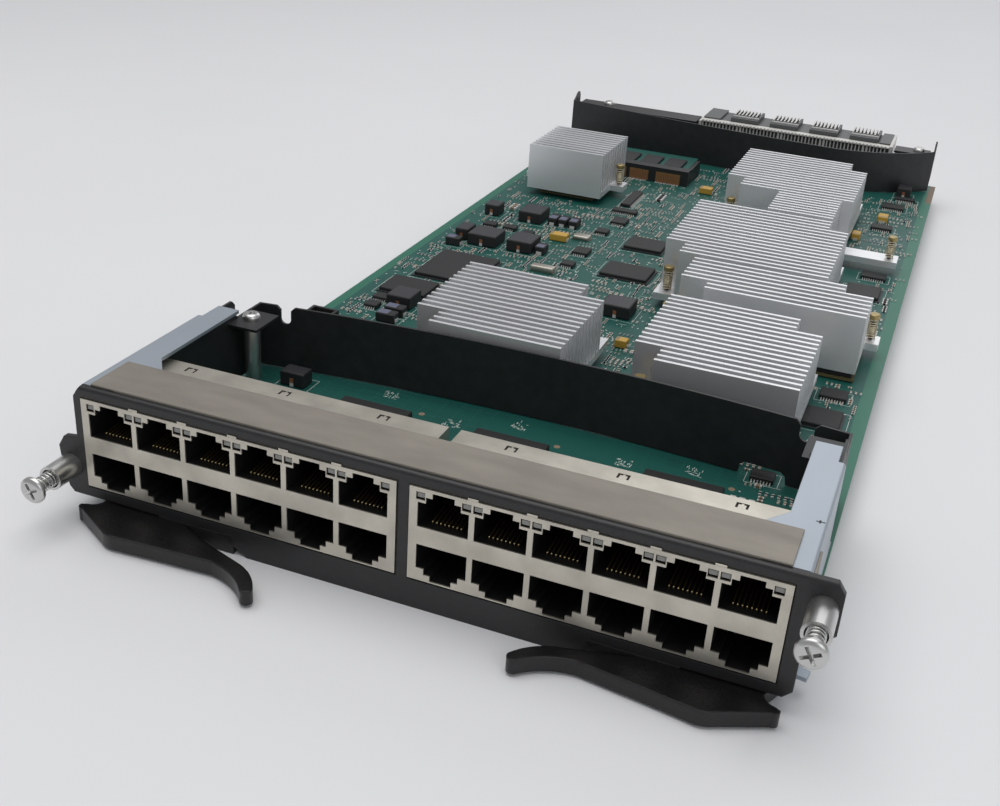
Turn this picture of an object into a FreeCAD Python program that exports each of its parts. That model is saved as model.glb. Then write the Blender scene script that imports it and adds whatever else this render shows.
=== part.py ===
import FreeCAD, Part
import Sketcher
import math
import os
import re

# Switch line card, in millimetres. The card slides into its chassis along +Y, +Z is up.
# The origin is on the back face of the front panel, midway between the two jack blocks,
# level with the top face of the board.

DRIVING = [
    # board
    ("board_west", -94.0), ("board_east", 91.8), ("board_front", 0.6), ("board_rear", 416.4),
    ("board_thick", 1.6),
    # front panel
    ("panel_thick", 1.6), ("panel_west", -90.8), ("panel_east", 92.2), ("panel_top", 28.0),
    ("panel_end_low", -3.4), ("panel_mid_low", -8.5), ("recess_start", 42.0), ("recess_end", 50.0),
    ("ear_west", -96.8), ("ear_east", 98.4), ("ear_low_top", 12.6), ("ear_high_base", 13.6),
    ("ear_slope_base", 6.5), ("ear_corner", 2.6), ("panel_edge_round", 1.1),
    ("window_margin", 0.2), ("window_low", -0.6), ("window_top", 25.2),
    # jack blocks
    ("block_width", 86.7), ("block_centre", 45.0), ("port_pitch", 13.97), ("port_half", 6.3),
    ("jack_face", -2.0), ("jack_rear", 27.6), ("jack_top", 25.0), ("shield_thick", 0.4),
    ("shield_gap", 0.05), ("upper_floor", 14.73), ("lower_roof", 9.93), ("port_depth", 16.0),
    ("port_main", 6.5), ("port_step", 8.1), ("port_latch", 9.5), ("step_half", 4.3),
    ("latch_half", 2.7), ("light_low", 21.9), ("light_high", 23.9), ("light_inner", 4.5),
    ("light_outer", 6.75), ("contact_pitch", 1.02), ("contact_width", 0.45), ("contact_rise", 1.5),
    ("contact_front", 0.6), ("contact_rear", 12.2), ("contact_thick", 0.35),
    ("tab_width", 3.0), ("tab_length", 2.4),
    # gasket over the jacks and on the brackets
    ("tape_west", -86.4), ("tape_east", 87.0), ("tape_rear", 15.0), ("tape_skin", 0.55),
    ("foam_inset", 6.6), ("strip_thick", 0.5), ("strip_width", 9.0), ("strip_low", 3.0),
    # side brackets
    ("sheet", 1.0), ("bracket_left_outer", -89.6), ("bracket_right_outer", 91.3),
    ("bracket_flange", 8.5), ("bracket_front", 0.3), ("bracket_rear", 58.6),
    ("bracket_tab", 4.4), ("bracket_top", 28.0), ("foot_front", 32.0),
    # baffles
    ("film", 0.8), ("baffle_low", 0.3), ("baffle_top", 20.7), ("baffle_end", 81.0),
    ("baffle_mid", 87.4), ("baffle_west", -88.5), ("baffle_east", 90.2), ("wing_front", 28.4),
    ("wing_rear", 66.8), ("wing_top", 26.8),
    ("fold_front", 62.6), ("fold_rear", 75.4), ("fold_width", 10.4),
    ("rear_top", 19.4), ("fold_back", 9.0),
    ("standoff_radius", 2.4), ("screw_head", 2.7),
    ("screw_head_high", 1.7), ("screw_shank", 1.2),
    ("standoff_left", -84.2), ("standoff_left_y", 70.0), ("standoff_right", 84.2),
    ("standoff_right_y", 65.0),
    # rear stiffeners and backplane connector
    ("shelf_front_left", 402.4), ("shelf_front_right", 405.2), ("shelf_rear", 415.6), ("shelf_top", 17.6),
    ("plug_west", -26.8), ("plug_east", 66.8), ("plug_front", 405.5), ("plug_rear", 432.0),
    ("plug_high", 17.8), ("module_count", 4), ("module_west", -18.4), ("module_pitch", 20.0),
    ("crown_high", 2.4), ("crown_front", 411.5), ("crown_inset", 5.2), ("crown_wide", 13.8),
    ("comb_pitch", 1.75), ("end_plate", 1.4),
    # heatsinks
    ("sink_base_low", 3.3), ("sink_base_high", 5.8), ("sink_top", 23.0), ("fin_thick", 1.2),
    ("package_low", 0.4), ("package_high", 3.0), ("package_margin", 5.5), ("wide_margin", 1.0),
    ("pin_radius", 0.9), ("pin_cap_radius", 1.9), ("pin_cap_low", 13.4), ("pin_cap_high", 14.9),
    ("coil_radius", 1.8), ("coil_bore", 1.2),
    # memory module
    ("memory_west", -85.0), ("memory_east", -17.4), ("memory_front", 345.0),
    # levers
    ("pivot_left", -82.2), ("pivot_right", 85.2), ("pivot_back", 4.5), ("lever_top", -3.8),
    ("lever_low", -7.6), ("left_open", 5.0), ("hub_radius", 4.2),
    ("pivot_radius", 1.6), ("pivot_gap", 0.06), ("jaw_thick", 1.0), ("rivet_radius", 2.8),
    ("mount_low", -2.6),
    # captive screws
    ("captive_left_x", -93.4), ("captive_left_z", 4.7), ("captive_right_x", 94.7),
    ("captive_right_z", 21.2), ("sleeve_radius", 3.2), ("sleeve_bore", 2.5),
    ("sleeve_front_left", -9.9), ("sleeve_front_right", -11.3), ("sleeve_floor", -2.9),
    ("captive_shank", 1.45), ("captive_hole", 1.53), ("captive_head", 3.5), ("head_thick", 1.7),
    ("captive_travel", 5.6), ("captive_tip", 5.2), ("clip_radius", 2.5), ("clip_thick", 0.5),
    ("clip_groove", 0.2),
]

# each heatsink: west, east, front and rear edge of its fins, number of fins, then how far the
# corner notches for the push pins reach along X and Y (0 where the corner is whole)
SINKS = {
    "rear_left": (-79.4, -44.9, 293.7, 331.8, 11, 0, 0),
    "rear_right": (9.7, 63.8, 286.6, 345.6, 16, 7.6, 10.8),
    "rear_small": (34.0, 59.5, 258.8, 284.0, 8, 0, 0),
    "centre_right": (7.8, 67.5, 190.5, 254.8, 18, 7.6, 10.8),
    "centre_wide": (22.0, 84.0, 159.8, 187.0, 8, 9.6, 5.6),
    "front_right": (23.5, 73.5, 95.9, 148.4, 16, 8.4, 10.3),
    "front_left": (-44.1, 6.0, 89.6, 142.0, 16, 8.4, 10.3),
}

doc = FreeCAD.newDocument("switch_line_card")
sheet = doc.addObject("Spreadsheet::Sheet", "Dimensions")
subparts = []


def fill_sheet():
    rows = list(DRIVING)
    for name, values in SINKS.items():
        for key, value in zip(("west", "east", "front", "rear", "fins", "notch", "notch_deep"), values):
            rows.append((f"{name}_{key}", value))
    for row, (alias, value) in enumerate(rows, 1):
        sheet.set(f"A{row}", alias)
        sheet.set(f"B{row}", str(value))
        sheet.setAlias(f"B{row}", alias)
    doc.recompute()
    return {alias: float(value) for alias, value in rows}


SIZE = fill_sheet()


def on_sheet(text):
    """An expression with each plain alias turned into a reference to the spreadsheet."""
    return re.sub(r"[a-z][a-z_]*", lambda m: "Dimensions." + m[0] if m[0] in SIZE else m[0], str(text))


def value(text):
    """The number that an expression in sheet aliases stands for."""
    total = sheet.evalExpression(on_sheet(text))
    return float(getattr(total, "Value", total))


def bind(thing, **expressions):
    for prop, text in expressions.items():
        thing.setExpression(prop.replace("__", "."), on_sheet(text))


def keep(thing, label):
    """Make an object a sub-part: its label names its file."""
    thing.Label = label
    subparts.append(thing)
    return thing


def at(thing, x=0, y=0, z=0):
    bind(thing, Placement__Base__x=x, Placement__Base__y=y, Placement__Base__z=z)
    return thing


def block(x0, x1, y0, y1, z0, z1, name="Block"):
    thing = doc.addObject("Part::Box", name)
    bind(thing, Length=f"({x1}) - ({x0})", Width=f"({y1}) - ({y0})", Height=f"({z1}) - ({z0})")
    return at(thing, x0, y0, z0)


UP = FreeCAD.Rotation()
SMALL_SIDES = 10
ALONG_Y = FreeCAD.Rotation(FreeCAD.Vector(1, 0, 0), -90)


def rod(radius, height, x=0, y=0, z=0, turn=UP, name="Rod"):
    thing = doc.addObject("Part::Cylinder", name)
    thing.Placement.Rotation = turn
    bind(thing, Radius=radius, Height=height)
    return at(thing, x, y, z)


def bar(radius, height, x, y, z, turn=UP):
    """A short many-sided rod, for small round pieces."""
    thing = doc.addObject("Part::Prism", "Bar")
    thing.Polygon = SMALL_SIDES
    thing.Placement.Rotation = turn
    bind(thing, Circumradius=radius, Height=height)
    return at(thing, x, y, z)


def boolean(kind, base, tools):
    if kind == "Cut":
        thing = doc.addObject("Part::Cut", "Cut")
        thing.Base = base
        thing.Tool = tools[0] if len(tools) == 1 else boolean("Fuse", tools[0], tools[1:])
    else:
        thing = doc.addObject("Part::MultiFuse", "Fuse")
        thing.Shapes = [base] + list(tools)
    return thing


def cut(base, *tools):
    return boolean("Cut", base, tools)


def fuse(base, *others):
    return boolean("Fuse", base, others)


def group(label, members):
    """Like pieces that share one node, each still its own solid."""
    thing = doc.addObject("Part::Compound", "Group")
    thing.Links = members
    return keep(thing, label)


# ---- PartDesign helpers ------------------------------------------------------------------
# A prism's plane: its role in the body, the sign that takes a world place to the plane's own
# offset, and whether the plane's normal points along the world axis.
PLANES = {"z": ("XY_Plane", 1), "y": ("XZ_Plane", -1), "x": ("YZ_Plane", 1)}


def new_body(label):
    return keep(doc.addObject("PartDesign::Body", label.title().replace("_", "")), label)


def new_sketch(body, axis, place):
    role, sign = PLANES[axis]
    sketch = body.newObject("Sketcher::SketchObject", "Sketch")
    plane = [p for p in body.Origin.OriginFeatures if p.Role == role][0]
    sketch.AttachmentSupport = [(plane, "")]
    sketch.MapMode = "FlatFace"
    bind(sketch, AttachmentOffset__Base__z=place if sign > 0 else f"-({place})")
    return sketch


def pin_point(sketch, line, end, x, y):
    for kind, text in (("DistanceX", x), ("DistanceY", y)):
        number = sketch.addConstraint(Sketcher.Constraint(kind, -1, 1, line, end, value(text)))
        sketch.setExpression(f"Constraints[{number}]", on_sheet(text))


def outline(sketch, corners):
    """A closed outline of straight lines, with every corner held by the sheet."""
    spots = [FreeCAD.Vector(value(x), value(y), 0) for x, y in corners]
    first = len(sketch.Geometry)
    for spot, after in zip(spots, spots[1:] + spots[:1]):
        sketch.addGeometry(Part.LineSegment(spot, after))
    for step, (x, y) in enumerate(corners):
        line = first + step
        previous = first + (step - 1) % len(corners)
        sketch.addConstraint(Sketcher.Constraint("Coincident", previous, 2, line, 1))
        pin_point(sketch, line, 1, x, y)


def rectangle(x0, x1, y0, y1):
    return [(x0, y0), (x1, y0), (x1, y1), (x0, y1)]


def prism(body, kind, axis, low, high, *outlines, curves=()):
    """A Pad or a Pocket that runs from low to high along the axis."""
    grows_up = PLANES[axis][1] > 0
    start = low if grows_up == (kind == "Pad") else high
    sketch = new_sketch(body, axis, start)
    for corners in outlines:
        outline(sketch, corners)
    for edge in curves:
        sketch.addGeometry(edge)
    feature = body.newObject(f"PartDesign::{kind}", kind)
    feature.Profile = sketch
    bind(feature, Length=f"({high}) - ({low})")
    before = body.Shape.Volume if kind == "Pocket" else 0
    body.Tip = feature
    doc.recompute()
    gained = body.Shape.Volume - before
    if (kind == "Pad" and gained <= 0) or (kind == "Pocket" and gained >= 0):
        raise RuntimeError(f"{body.Label}: a {kind} along {axis} from {low} to {high} did nothing")
    return feature


def repeat(body, features, axis_name, length, count):
    """Features repeated in a row along their own sketch's H or V axis."""
    pattern = body.newObject("PartDesign::LinearPattern", "Row")
    pattern.Originals = features
    pattern.Direction = (features[0].Profile[0], [axis_name])
    bind(pattern, Length=length, Occurrences=count)
    body.Tip = pattern
    doc.recompute()
    return pattern


def round_edges(body, radius, wanted):
    """A fillet on the edges of the body's last feature that the test picks."""
    base = body.Tip
    names = [f"Edge{n}" for n, edge in enumerate(base.Shape.Edges, 1) if wanted(edge)]
    fillet = body.newObject("PartDesign::Fillet", "Round")
    fillet.Base = (base, names)
    bind(fillet, Radius=radius)
    body.Tip = fillet
    doc.recompute()


def runs_along(edge, axis, near):
    """Whether a straight edge runs along an axis and passes near a place given by x, y or z."""
    first, last = edge.Vertexes[0].Point, edge.Vertexes[-1].Point
    step = last - first
    size = step.Length
    if size < 1e-6 or abs(abs(getattr(step, axis)) - size) > 1e-4:
        return False
    middle = (first + last) * 0.5
    return all(abs(getattr(middle, key) - spot) < 0.05 for key, spot in near.items())




# ---- board -------------------------------------------------------------------------------
def main_board():
    body = new_body("main_board")
    prism(body, "Pad", "z", "-board_thick", "0",
          rectangle("board_west", "board_east", "board_front", "board_rear"))


FRONT_STANDOFFS = [("standoff_left", "standoff_left_y"), ("standoff_right", "standoff_right_y")]
REAR_STANDOFFS = [("-78", "411.5"), ("80.6", "411.5")]


# ---- front panel -------------------------------------------------------------------------
def front_panel():
    body = new_body("front_panel")
    face = [
        ("-recess_start", "panel_mid_low"), ("recess_start", "panel_mid_low"),
        ("recess_end", "panel_end_low"), ("panel_east - 2", "panel_end_low"),
        ("panel_east", "panel_end_low + 2"), ("panel_east", "ear_slope_base"),
        ("panel_east + 4.4", "ear_high_base"), ("ear_east", "ear_high_base + 1.8"),
        ("ear_east", "panel_top - ear_corner"), ("ear_east - 1.8", "panel_top"),
        ("panel_west + 2", "panel_top"), ("panel_west", "panel_top - 3"),
        ("panel_west", "ear_low_top + 0.6"), ("panel_west - 4.2", "ear_low_top"),
        ("ear_west", "ear_low_top - 3"), ("ear_west + 0.4", "5.7"),
        ("ear_west + 2.0", "-1.8"), ("ear_west + 3.4", "panel_end_low"),
        ("-recess_end", "panel_end_low"),
    ]
    prism(body, "Pad", "y", "-panel_thick", "0", face)
    half = "(block_width / 2 + window_margin)"
    for side in ("-block_centre", "block_centre"):
        prism(body, "Pocket", "y", "-panel_thick", "0",
              rectangle(f"{side} - {half}", f"{side} + {half}", "window_low", "window_top"))
    for x, z in (("captive_left_x", "captive_left_z"), ("captive_right_x", "captive_right_z")):
        round_pocket(body, x, z, "captive_hole + 0.7", "-panel_thick", "0")
    top, front = SIZE["panel_top"], -SIZE["panel_thick"]
    round_edges(body, "panel_edge_round", lambda e: runs_along(e, "x", {"z": top, "y": front}))


def round_pocket(body, x, z, radius, low, high):
    """A round hole along Y through a plate."""
    sketch = new_sketch(body, "y", low)
    sketch.addGeometry(Part.Circle(FreeCAD.Vector(value(x), value(z), 0), FreeCAD.Vector(0, 0, 1), 1))
    pin_point(sketch, 0, 3, x, z)
    constraint = sketch.addConstraint(Sketcher.Constraint("Radius", 0, value(radius)))
    sketch.setExpression(f"Constraints[{constraint}]", on_sheet(radius))
    pocket = body.newObject("PartDesign::Pocket", "Hole")
    pocket.Profile = sketch
    bind(pocket, Length=f"({high}) - ({low})")
    body.Tip = pocket
    doc.recompute()


# ---- jack blocks -------------------------------------------------------------------------
def port_outline(centre, floor, way):
    """A jack's mouth from its contact side (floor) towards its latch; way is + or -."""
    def level(rise):
        return f"{floor} {way} {rise}"
    return [
        (f"{centre} - port_half", floor), (f"{centre} + port_half", floor),
        (f"{centre} + port_half", level("port_main")), (f"{centre} + step_half", level("port_main")),
        (f"{centre} + step_half", level("port_step")), (f"{centre} + latch_half", level("port_step")),
        (f"{centre} + latch_half", level("port_latch")), (f"{centre} - latch_half", level("port_latch")),
        (f"{centre} - latch_half", level("port_step")), (f"{centre} - step_half", level("port_step")),
        (f"{centre} - step_half", level("port_main")), (f"{centre} - port_half", level("port_main")),
    ]


def light_outlines(centre):
    return [rectangle(f"{centre} - light_outer", f"{centre} - light_inner", "light_low", "light_high"),
            rectangle(f"{centre} + light_inner", f"{centre} + light_outer", "light_low", "light_high")]


def first_port(centre):
    """The middle of a block's westmost port."""
    return f"({centre} - port_pitch * 2.5)"


def port_row(body, centre, low, high):
    """Six ports over six ports, with a light window at each upper corner of the upper row."""
    port = first_port(centre)
    features = [
        prism(body, "Pocket", "y", low, high, port_outline(port, "upper_floor", "+")),
        prism(body, "Pocket", "y", low, high, port_outline(port, "lower_roof", "-")),
        prism(body, "Pocket", "y", low, high, *light_outlines(port)),
    ]
    repeat(body, features, "H_Axis", "port_pitch * 5", "6")


def jack_housing(side, centre):
    body = new_body(f"jack_housing_{side}")
    inner = "(block_width / 2 - shield_thick - shield_gap)"
    front = "jack_face + shield_thick"
    prism(body, "Pad", "y", front, "jack_rear - shield_thick",
          rectangle(f"{centre} - {inner}", f"{centre} + {inner}", "shield_gap",
                    "jack_top - shield_thick - shield_gap"))
    port_row(body, centre, front, f"{front} + port_depth")


def jack_shield(side, centre):
    """A folded can, open below, over the jack housing."""
    body = new_body(f"jack_shield_{side}")
    half = "(block_width / 2)"
    prism(body, "Pad", "y", "jack_face", "jack_rear",
          rectangle(f"{centre} - {half}", f"{centre} + {half}", "shield_gap", "jack_top"))
    prism(body, "Pocket", "y", "jack_face + shield_thick", "jack_rear - shield_thick",
          rectangle(f"{centre} - {half} + shield_thick", f"{centre} + {half} - shield_thick",
                    "shield_gap", "jack_top - shield_thick"))
    port_row(body, centre, "jack_face", "jack_face + shield_thick")
    # three lances that lock the top sheet to the housing
    lance = prism(body, "Pocket", "z", "jack_top - shield_thick", "jack_top",
                  rectangle(f"{centre} - 29 - tab_width / 2", f"{centre} - 29 + tab_width / 2",
                            "23.2", "23.2 + tab_length"))
    repeat(body, [lance], "H_Axis", "56", "3")


def jack_contacts():
    """Eight spring wires in every port, sprung up from the contact side."""
    members = []
    for centre in ("-block_centre", "block_centre"):
        for port in range(6):
            for floor, way in (("upper_floor", 1), ("lower_roof", -1)):
                for wire in range(8):
                    x = value(f"{first_port(centre)} + {port} * port_pitch + {wire - 3.5} * contact_pitch")
                    members.append(contact_wire(x - SIZE["contact_width"] / 2, SIZE[floor], way))
    thing = doc.addObject("Part::Feature", "Contacts")
    thing.Shape = Part.makeCompound(members)
    keep(thing, "jack_contacts")


def contact_wire(x, floor, way):
    """One flat wire that rises from the floor of the port towards the rear."""
    rise, thick = SIZE["contact_rise"], SIZE["contact_thick"]
    front, rear = SIZE["contact_front"], SIZE["contact_rear"]
    side = [(front, 0.04), (rear, rise - thick), (rear, rise), (front, 0.04 + thick)]
    corners = [FreeCAD.Vector(x, y, floor + way * z) for y, z in side]
    face = Part.Face(Part.makePolygon(corners + corners[:1]))
    return face.extrude(FreeCAD.Vector(SIZE["contact_width"], 0, 0))


def port_lights():
    """The light pipes that end in the windows over the upper ports."""
    members = []
    for centre in ("-block_centre", "block_centre"):
        for port in range(6):
            middle = f"{first_port(centre)} + {port} * port_pitch"
            for low, high in (("-light_outer", "-light_inner"), ("light_inner", "light_outer")):
                members.append(block(f"{middle} + ({low}) + 0.1", f"{middle} + ({high}) - 0.1",
                                     "jack_face + 0.3", "jack_face + 14", "light_low + 0.1",
                                     "light_high - 0.1"))
    group("port_lights", members)


# ---- gaskets -----------------------------------------------------------------------------
def shield_gasket():
    """Conductive cloth over foam: a skin across the top with the foam below it, between the brackets."""
    body = new_body("shield_gasket")
    profile = [
        ("tape_west", "panel_top + shield_gap"), ("tape_west + foam_inset", "panel_top + shield_gap"),
        ("tape_west + foam_inset", "jack_top + shield_gap"),
        ("tape_east - foam_inset", "jack_top + shield_gap"),
        ("tape_east - foam_inset", "panel_top + shield_gap"), ("tape_east", "panel_top + shield_gap"),
        ("tape_east", "panel_top + tape_skin"), ("tape_west", "panel_top + tape_skin"),
    ]
    prism(body, "Pad", "y", "shield_gap", "tape_rear", profile)


def side_gaskets():
    """The strips of the same cloth on the outer walls of the brackets."""
    members = []
    for wall, way in (("bracket_left_outer", "-"), ("bracket_right_outer", "+")):
        near = f"{wall} {way} 0.02"
        far = f"{wall} {way} strip_thick"
        low, high = (far, near) if way == "-" else (near, far)
        members.append(block(low, high, "1.5", "1.5 + strip_width", "strip_low", "panel_top - 1"))
    group("side_gaskets", members)


# ---- side brackets -----------------------------------------------------------------------
def bracket(side, outer, way):
    """A channel bent from zinc-plated sheet: foot, wall and top flange."""
    body = new_body(f"bracket_{side}")

    def inward(distance):
        return f"{outer} {'+' if way > 0 else '-'} ({distance})"

    prism(body, "Pad", "y", "bracket_front", "bracket_rear", [
        (outer, "0.05"), (inward("bracket_flange"), "0.05"), (inward("bracket_flange"), "0.05 + sheet"),
        (inward("sheet"), "0.05 + sheet"), (inward("sheet"), "bracket_top - sheet"),
        (inward("bracket_flange"), "bracket_top - sheet"), (inward("bracket_flange"), "bracket_top"),
        (outer, "bracket_top")])
    # the flange widens beside the gasket and narrows at the rear
    prism(body, "Pad", "z", "bracket_top - sheet", "bracket_top", [
        (inward("bracket_flange"), "tape_rear + 0.2"),
        (inward("bracket_flange + bracket_tab"), "tape_rear + 0.2"),
        (inward("bracket_flange + bracket_tab"), "tape_rear + 0.9"),
        (inward("bracket_flange"), "21.8")])
    prism(body, "Pocket", "z", "0.05 + sheet", "bracket_top",
          rectangle(*sorted((outer, inward("1.9")), key=value), "50.2", "bracket_rear"))
    # the foot runs only along the rear part, behind the jacks
    prism(body, "Pocket", "z", "0.05", "0.05 + sheet",
          rectangle(*sorted((inward("sheet"), inward("bracket_flange")), key=value),
                    "bracket_front", "foot_front"))
    bend = value(outer)
    round_edges(body, "sheet", lambda e: runs_along(e, "y", {"x": bend, "z": SIZE["bracket_top"]}))


# ---- baffles -----------------------------------------------------------------------------
def arc(first, middle, last):
    return Part.Arc(*[FreeCAD.Vector(x, y, 0) for x, y in (first, middle, last)])


def bowed_sheet(body, stretches, thick, low, high):
    """A thin wall whose plan is a chain of arcs, each given by three points."""
    shifted = [[(x, y + thick) for x, y in stretch] for stretch in stretches]
    edges = [arc(*stretch) for stretch in stretches]
    edges += [arc(*reversed(stretch)) for stretch in reversed(shifted)]
    start, end = stretches[0][0], stretches[-1][-1]
    for x, y in (end, start):
        edges.append(Part.LineSegment(FreeCAD.Vector(x, y, 0), FreeCAD.Vector(x, y + thick, 0)))
    return prism(body, "Pad", "z", low, high, curves=edges)


def front_baffle():
    """The bowed wall with its side wings, a raised tip on each and a fold over each standoff."""
    body = new_body("front_baffle")
    west, east = SIZE["baffle_west"], SIZE["baffle_east"]
    end, mid = SIZE["baffle_end"], SIZE["baffle_mid"]
    bowed_sheet(body, [[(west, end), (2.0, mid), (east, end)]], SIZE["film"], "baffle_low", "baffle_top")
    for edge, way in (("baffle_west", "+"), ("baffle_east", "-")):
        inner = f"{edge} {way} film"
        near, far = sorted((edge, inner), key=value)
        prism(body, "Pad", "x", near, far, [
            ("wing_front", "baffle_low + sheet"), ("baffle_end + film", "baffle_low + sheet"),
            ("baffle_end + film", "baffle_top"), ("wing_rear + 1.6", "baffle_top"),
            ("wing_rear", "baffle_top + 1.6"), ("wing_rear", "wing_top - 1.4"),
            ("wing_rear - 1.4", "wing_top"), ("wing_front", "wing_top")])
        near, far = sorted((edge, f"{edge} {way} fold_width"), key=value)
        prism(body, "Pad", "z", "baffle_top - film", "baffle_top", [
            (near, "fold_front"), (far, "fold_front"), (far, "fold_rear"), (near, "fold_rear")])
    # a notch beside each fold, and the arch over the small parts at the right
    prism(body, "Pocket", "y", "baffle_end - 3", "baffle_mid + 3",
          curves=notch(-81.6, -78.2, SIZE["baffle_top"], 15.0, 1.2))
    prism(body, "Pocket", "y", "baffle_end - 3", "baffle_mid + 3",
          curves=notch(76.6, 80.4, SIZE["baffle_top"], 14.8, 1.4))
    prism(body, "Pocket", "y", "baffle_end - 3", "baffle_mid + 3", [
        ("61.8", "baffle_low - 1"), ("75.6", "baffle_low - 1"), ("74.9", "2.8"), ("73.6", "3.8"),
        ("63.4", "3.8"), ("62.2", "2.8")])
    for x, y in FRONT_STANDOFFS:
        drill(body, x, y, "screw_shank + 0.2", "baffle_top - film", "baffle_top")


def notch(left, right, top, bottom, flare):
    """The outline of a slot open at the top edge, with a round bottom and a flared mouth."""
    middle = (left + right) / 2
    half = (right - left) / 2
    points = [(right, bottom + half), (right, top - flare), (right + flare, top), (right + flare, top + 1),
              (left - flare, top + 1), (left - flare, top), (left, top - flare), (left, bottom + half)]
    corners = [FreeCAD.Vector(x, y, 0) for x, y in points]
    walls = [Part.LineSegment(*pair) for pair in zip(corners, corners[1:])]
    return [arc((left, bottom + half), (middle, bottom), (right, bottom + half))] + walls


def drill(body, x, y, radius, low, high):
    """A round hole along Z."""
    sketch = new_sketch(body, "z", high)
    sketch.addGeometry(Part.Circle(FreeCAD.Vector(value(x), value(y), 0), FreeCAD.Vector(0, 0, 1), 1))
    pin_point(sketch, 0, 3, x, y)
    constraint = sketch.addConstraint(Sketcher.Constraint("Radius", 0, value(radius)))
    sketch.setExpression(f"Constraints[{constraint}]", on_sheet(radius))
    pocket = body.newObject("PartDesign::Pocket", "Hole")
    pocket.Profile = sketch
    bind(pocket, Length=f"({high}) - ({low})")
    body.Tip = pocket
    doc.recompute()


REAR_BOW = [[(-94.6, 401.0), (-30.0, 390.4), (44.0, 383.4)], [(44.0, 383.4), (68.0, 390.4), (88.4, 406.6)]]


def rear_baffle():
    """A bowed wall whose ends fold back, each to a rounded tip."""
    body = new_body("rear_baffle")
    bowed_sheet(body, REAR_BOW, SIZE["film"], "baffle_low", "rear_top")
    for (x, y), way in ((REAR_BOW[0][0], 1), (REAR_BOW[-1][-1], -1)):
        near, far = sorted((x, x + way * SIZE["film"]))
        low = "4" if way < 0 else "baffle_low"
        fold = [(str(y), low), (f"{y} + fold_back", low), (f"{y} + fold_back", "rear_top + 1.6"),
                (f"{y} + fold_back - 1.6", "rear_top + 3.4"), (f"{y} + fold_back - 4", "rear_top + 2.8"),
                (str(y), "rear_top - 0.4")]
        prism(body, "Pad", "x", str(near), str(far), fold)


def rear_stiffener(side, west, east, hole):
    """A black angle beside the backplane plug, screwed to a standoff."""
    body = new_body(f"rear_stiffener_{side}")
    front = f"shelf_front_{side}"
    prism(body, "Pad", "x", west, east, [
        (front, "shelf_top - sheet"), ("shelf_rear - sheet", "shelf_top - sheet"),
        ("shelf_rear - sheet", "0.1"), ("shelf_rear", "0.1"), ("shelf_rear", "shelf_top"),
        (front, "shelf_top")])
    drill(body, hole[0], hole[1], "screw_shank + 0.2", "shelf_top - sheet", "shelf_top")


def pan_screw(x, y, seat, plate):
    """A screw's head on its seat, and its shank through the plate below."""
    head = bar("screw_head", "screw_head_high", x, y, seat)
    return fuse(head, bar("screw_shank", plate, x, y, f"{seat} - {plate}"))


def standoffs():
    spots = [(x, y, "baffle_top", "film") for x, y in FRONT_STANDOFFS]
    spots += [(x, y, "shelf_top", "sheet") for x, y in REAR_STANDOFFS]
    group("standoffs", [rod("standoff_radius", f"{top} - {plate} - 0.04", x, y, "0.02")
                        for x, y, top, plate in spots])
    group("standoff_screws", [pan_screw(*spot) for spot in spots])


def underside_screws():
    """Flat screws that hold the standoffs from below; the card rests on the rear two."""
    group("underside_screws", [bar("screw_head + 0.4", "1.8", x, y, "-board_thick - 1.82")
                               for x, y in FRONT_STANDOFFS + REAR_STANDOFFS])


# ---- backplane plug ----------------------------------------------------------------------
def plug_module(west, east, crown_west, crown_east, ribs):
    """A right-angle module: body, a crown on its top with a row of ribs, and the socket in its rear."""
    body = block(f"{west} + 0.04", f"{east} - 0.04", "plug_front + 1.4", "plug_rear", "0.1", "plug_high")
    crown = block(crown_west, crown_east, "crown_front", "plug_rear - 0.5", "plug_high - 1",
                  "plug_high + crown_high")
    gaps = [block(f"{crown_west} + {0.9 + rib * 1.8}", f"{crown_west} + {1.8 + rib * 1.8}", "crown_front + 8",
                  "plug_rear", "plug_high + 0.6", "plug_high + crown_high + 1") for rib in range(ribs)]
    socket = block(f"{west} + 1.4", f"{east} - 1.4", "plug_rear - 9", "plug_rear + 1", "3", "14.5")
    return cut(fuse(body, crown), socket, *gaps)


def backplane_plug():
    """Press-fit right-angle modules in a row between a guide block and an end block."""
    housings = []
    for west, east in (("plug_west", "module_west - 0.04"),
                       ("module_west + module_pitch * module_count + 0.04", "plug_east")):
        housings.append(fuse(block(west, east, "plug_front + 1.4", "plug_rear", "0.1", "plug_high"),
                             block(west, east, "crown_front - 1", "plug_rear", "plug_high - 1", "plug_high + 1.2")))
    for module in range(int(SIZE["module_count"])):
        west = f"(module_west + {module} * module_pitch)"
        housings.append(plug_module(west, f"{west} + module_pitch", f"{west} + crown_inset",
                                    f"{west} + crown_inset + crown_wide", 7))
    count = int((SIZE["plug_east"] - SIZE["plug_west"]) / SIZE["comb_pitch"])
    wafers = [block(f"plug_west + 0.4 + {column} * comb_pitch", f"plug_west + 1.2 + {column} * comb_pitch",
                    "plug_front", "plug_front + 1.35", "0.1", "plug_high - 1.6") for column in range(count)]
    group("plug_housings", housings)
    group("plug_wafers", wafers)
    plates = [block("plug_west - end_plate", "plug_west - 0.04", "plug_front", "plug_rear", "0.1", "plug_high"),
              block("plug_east + 0.04", "plug_east + end_plate", "plug_front", "plug_rear", "0.1", "plug_high + 1"),
              block("plug_west", "plug_east", "plug_front - 0.6", "plug_front + 4.6", "plug_high + 0.04",
                    "plug_high + 0.6")]
    group("plug_end_plates", plates)


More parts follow.
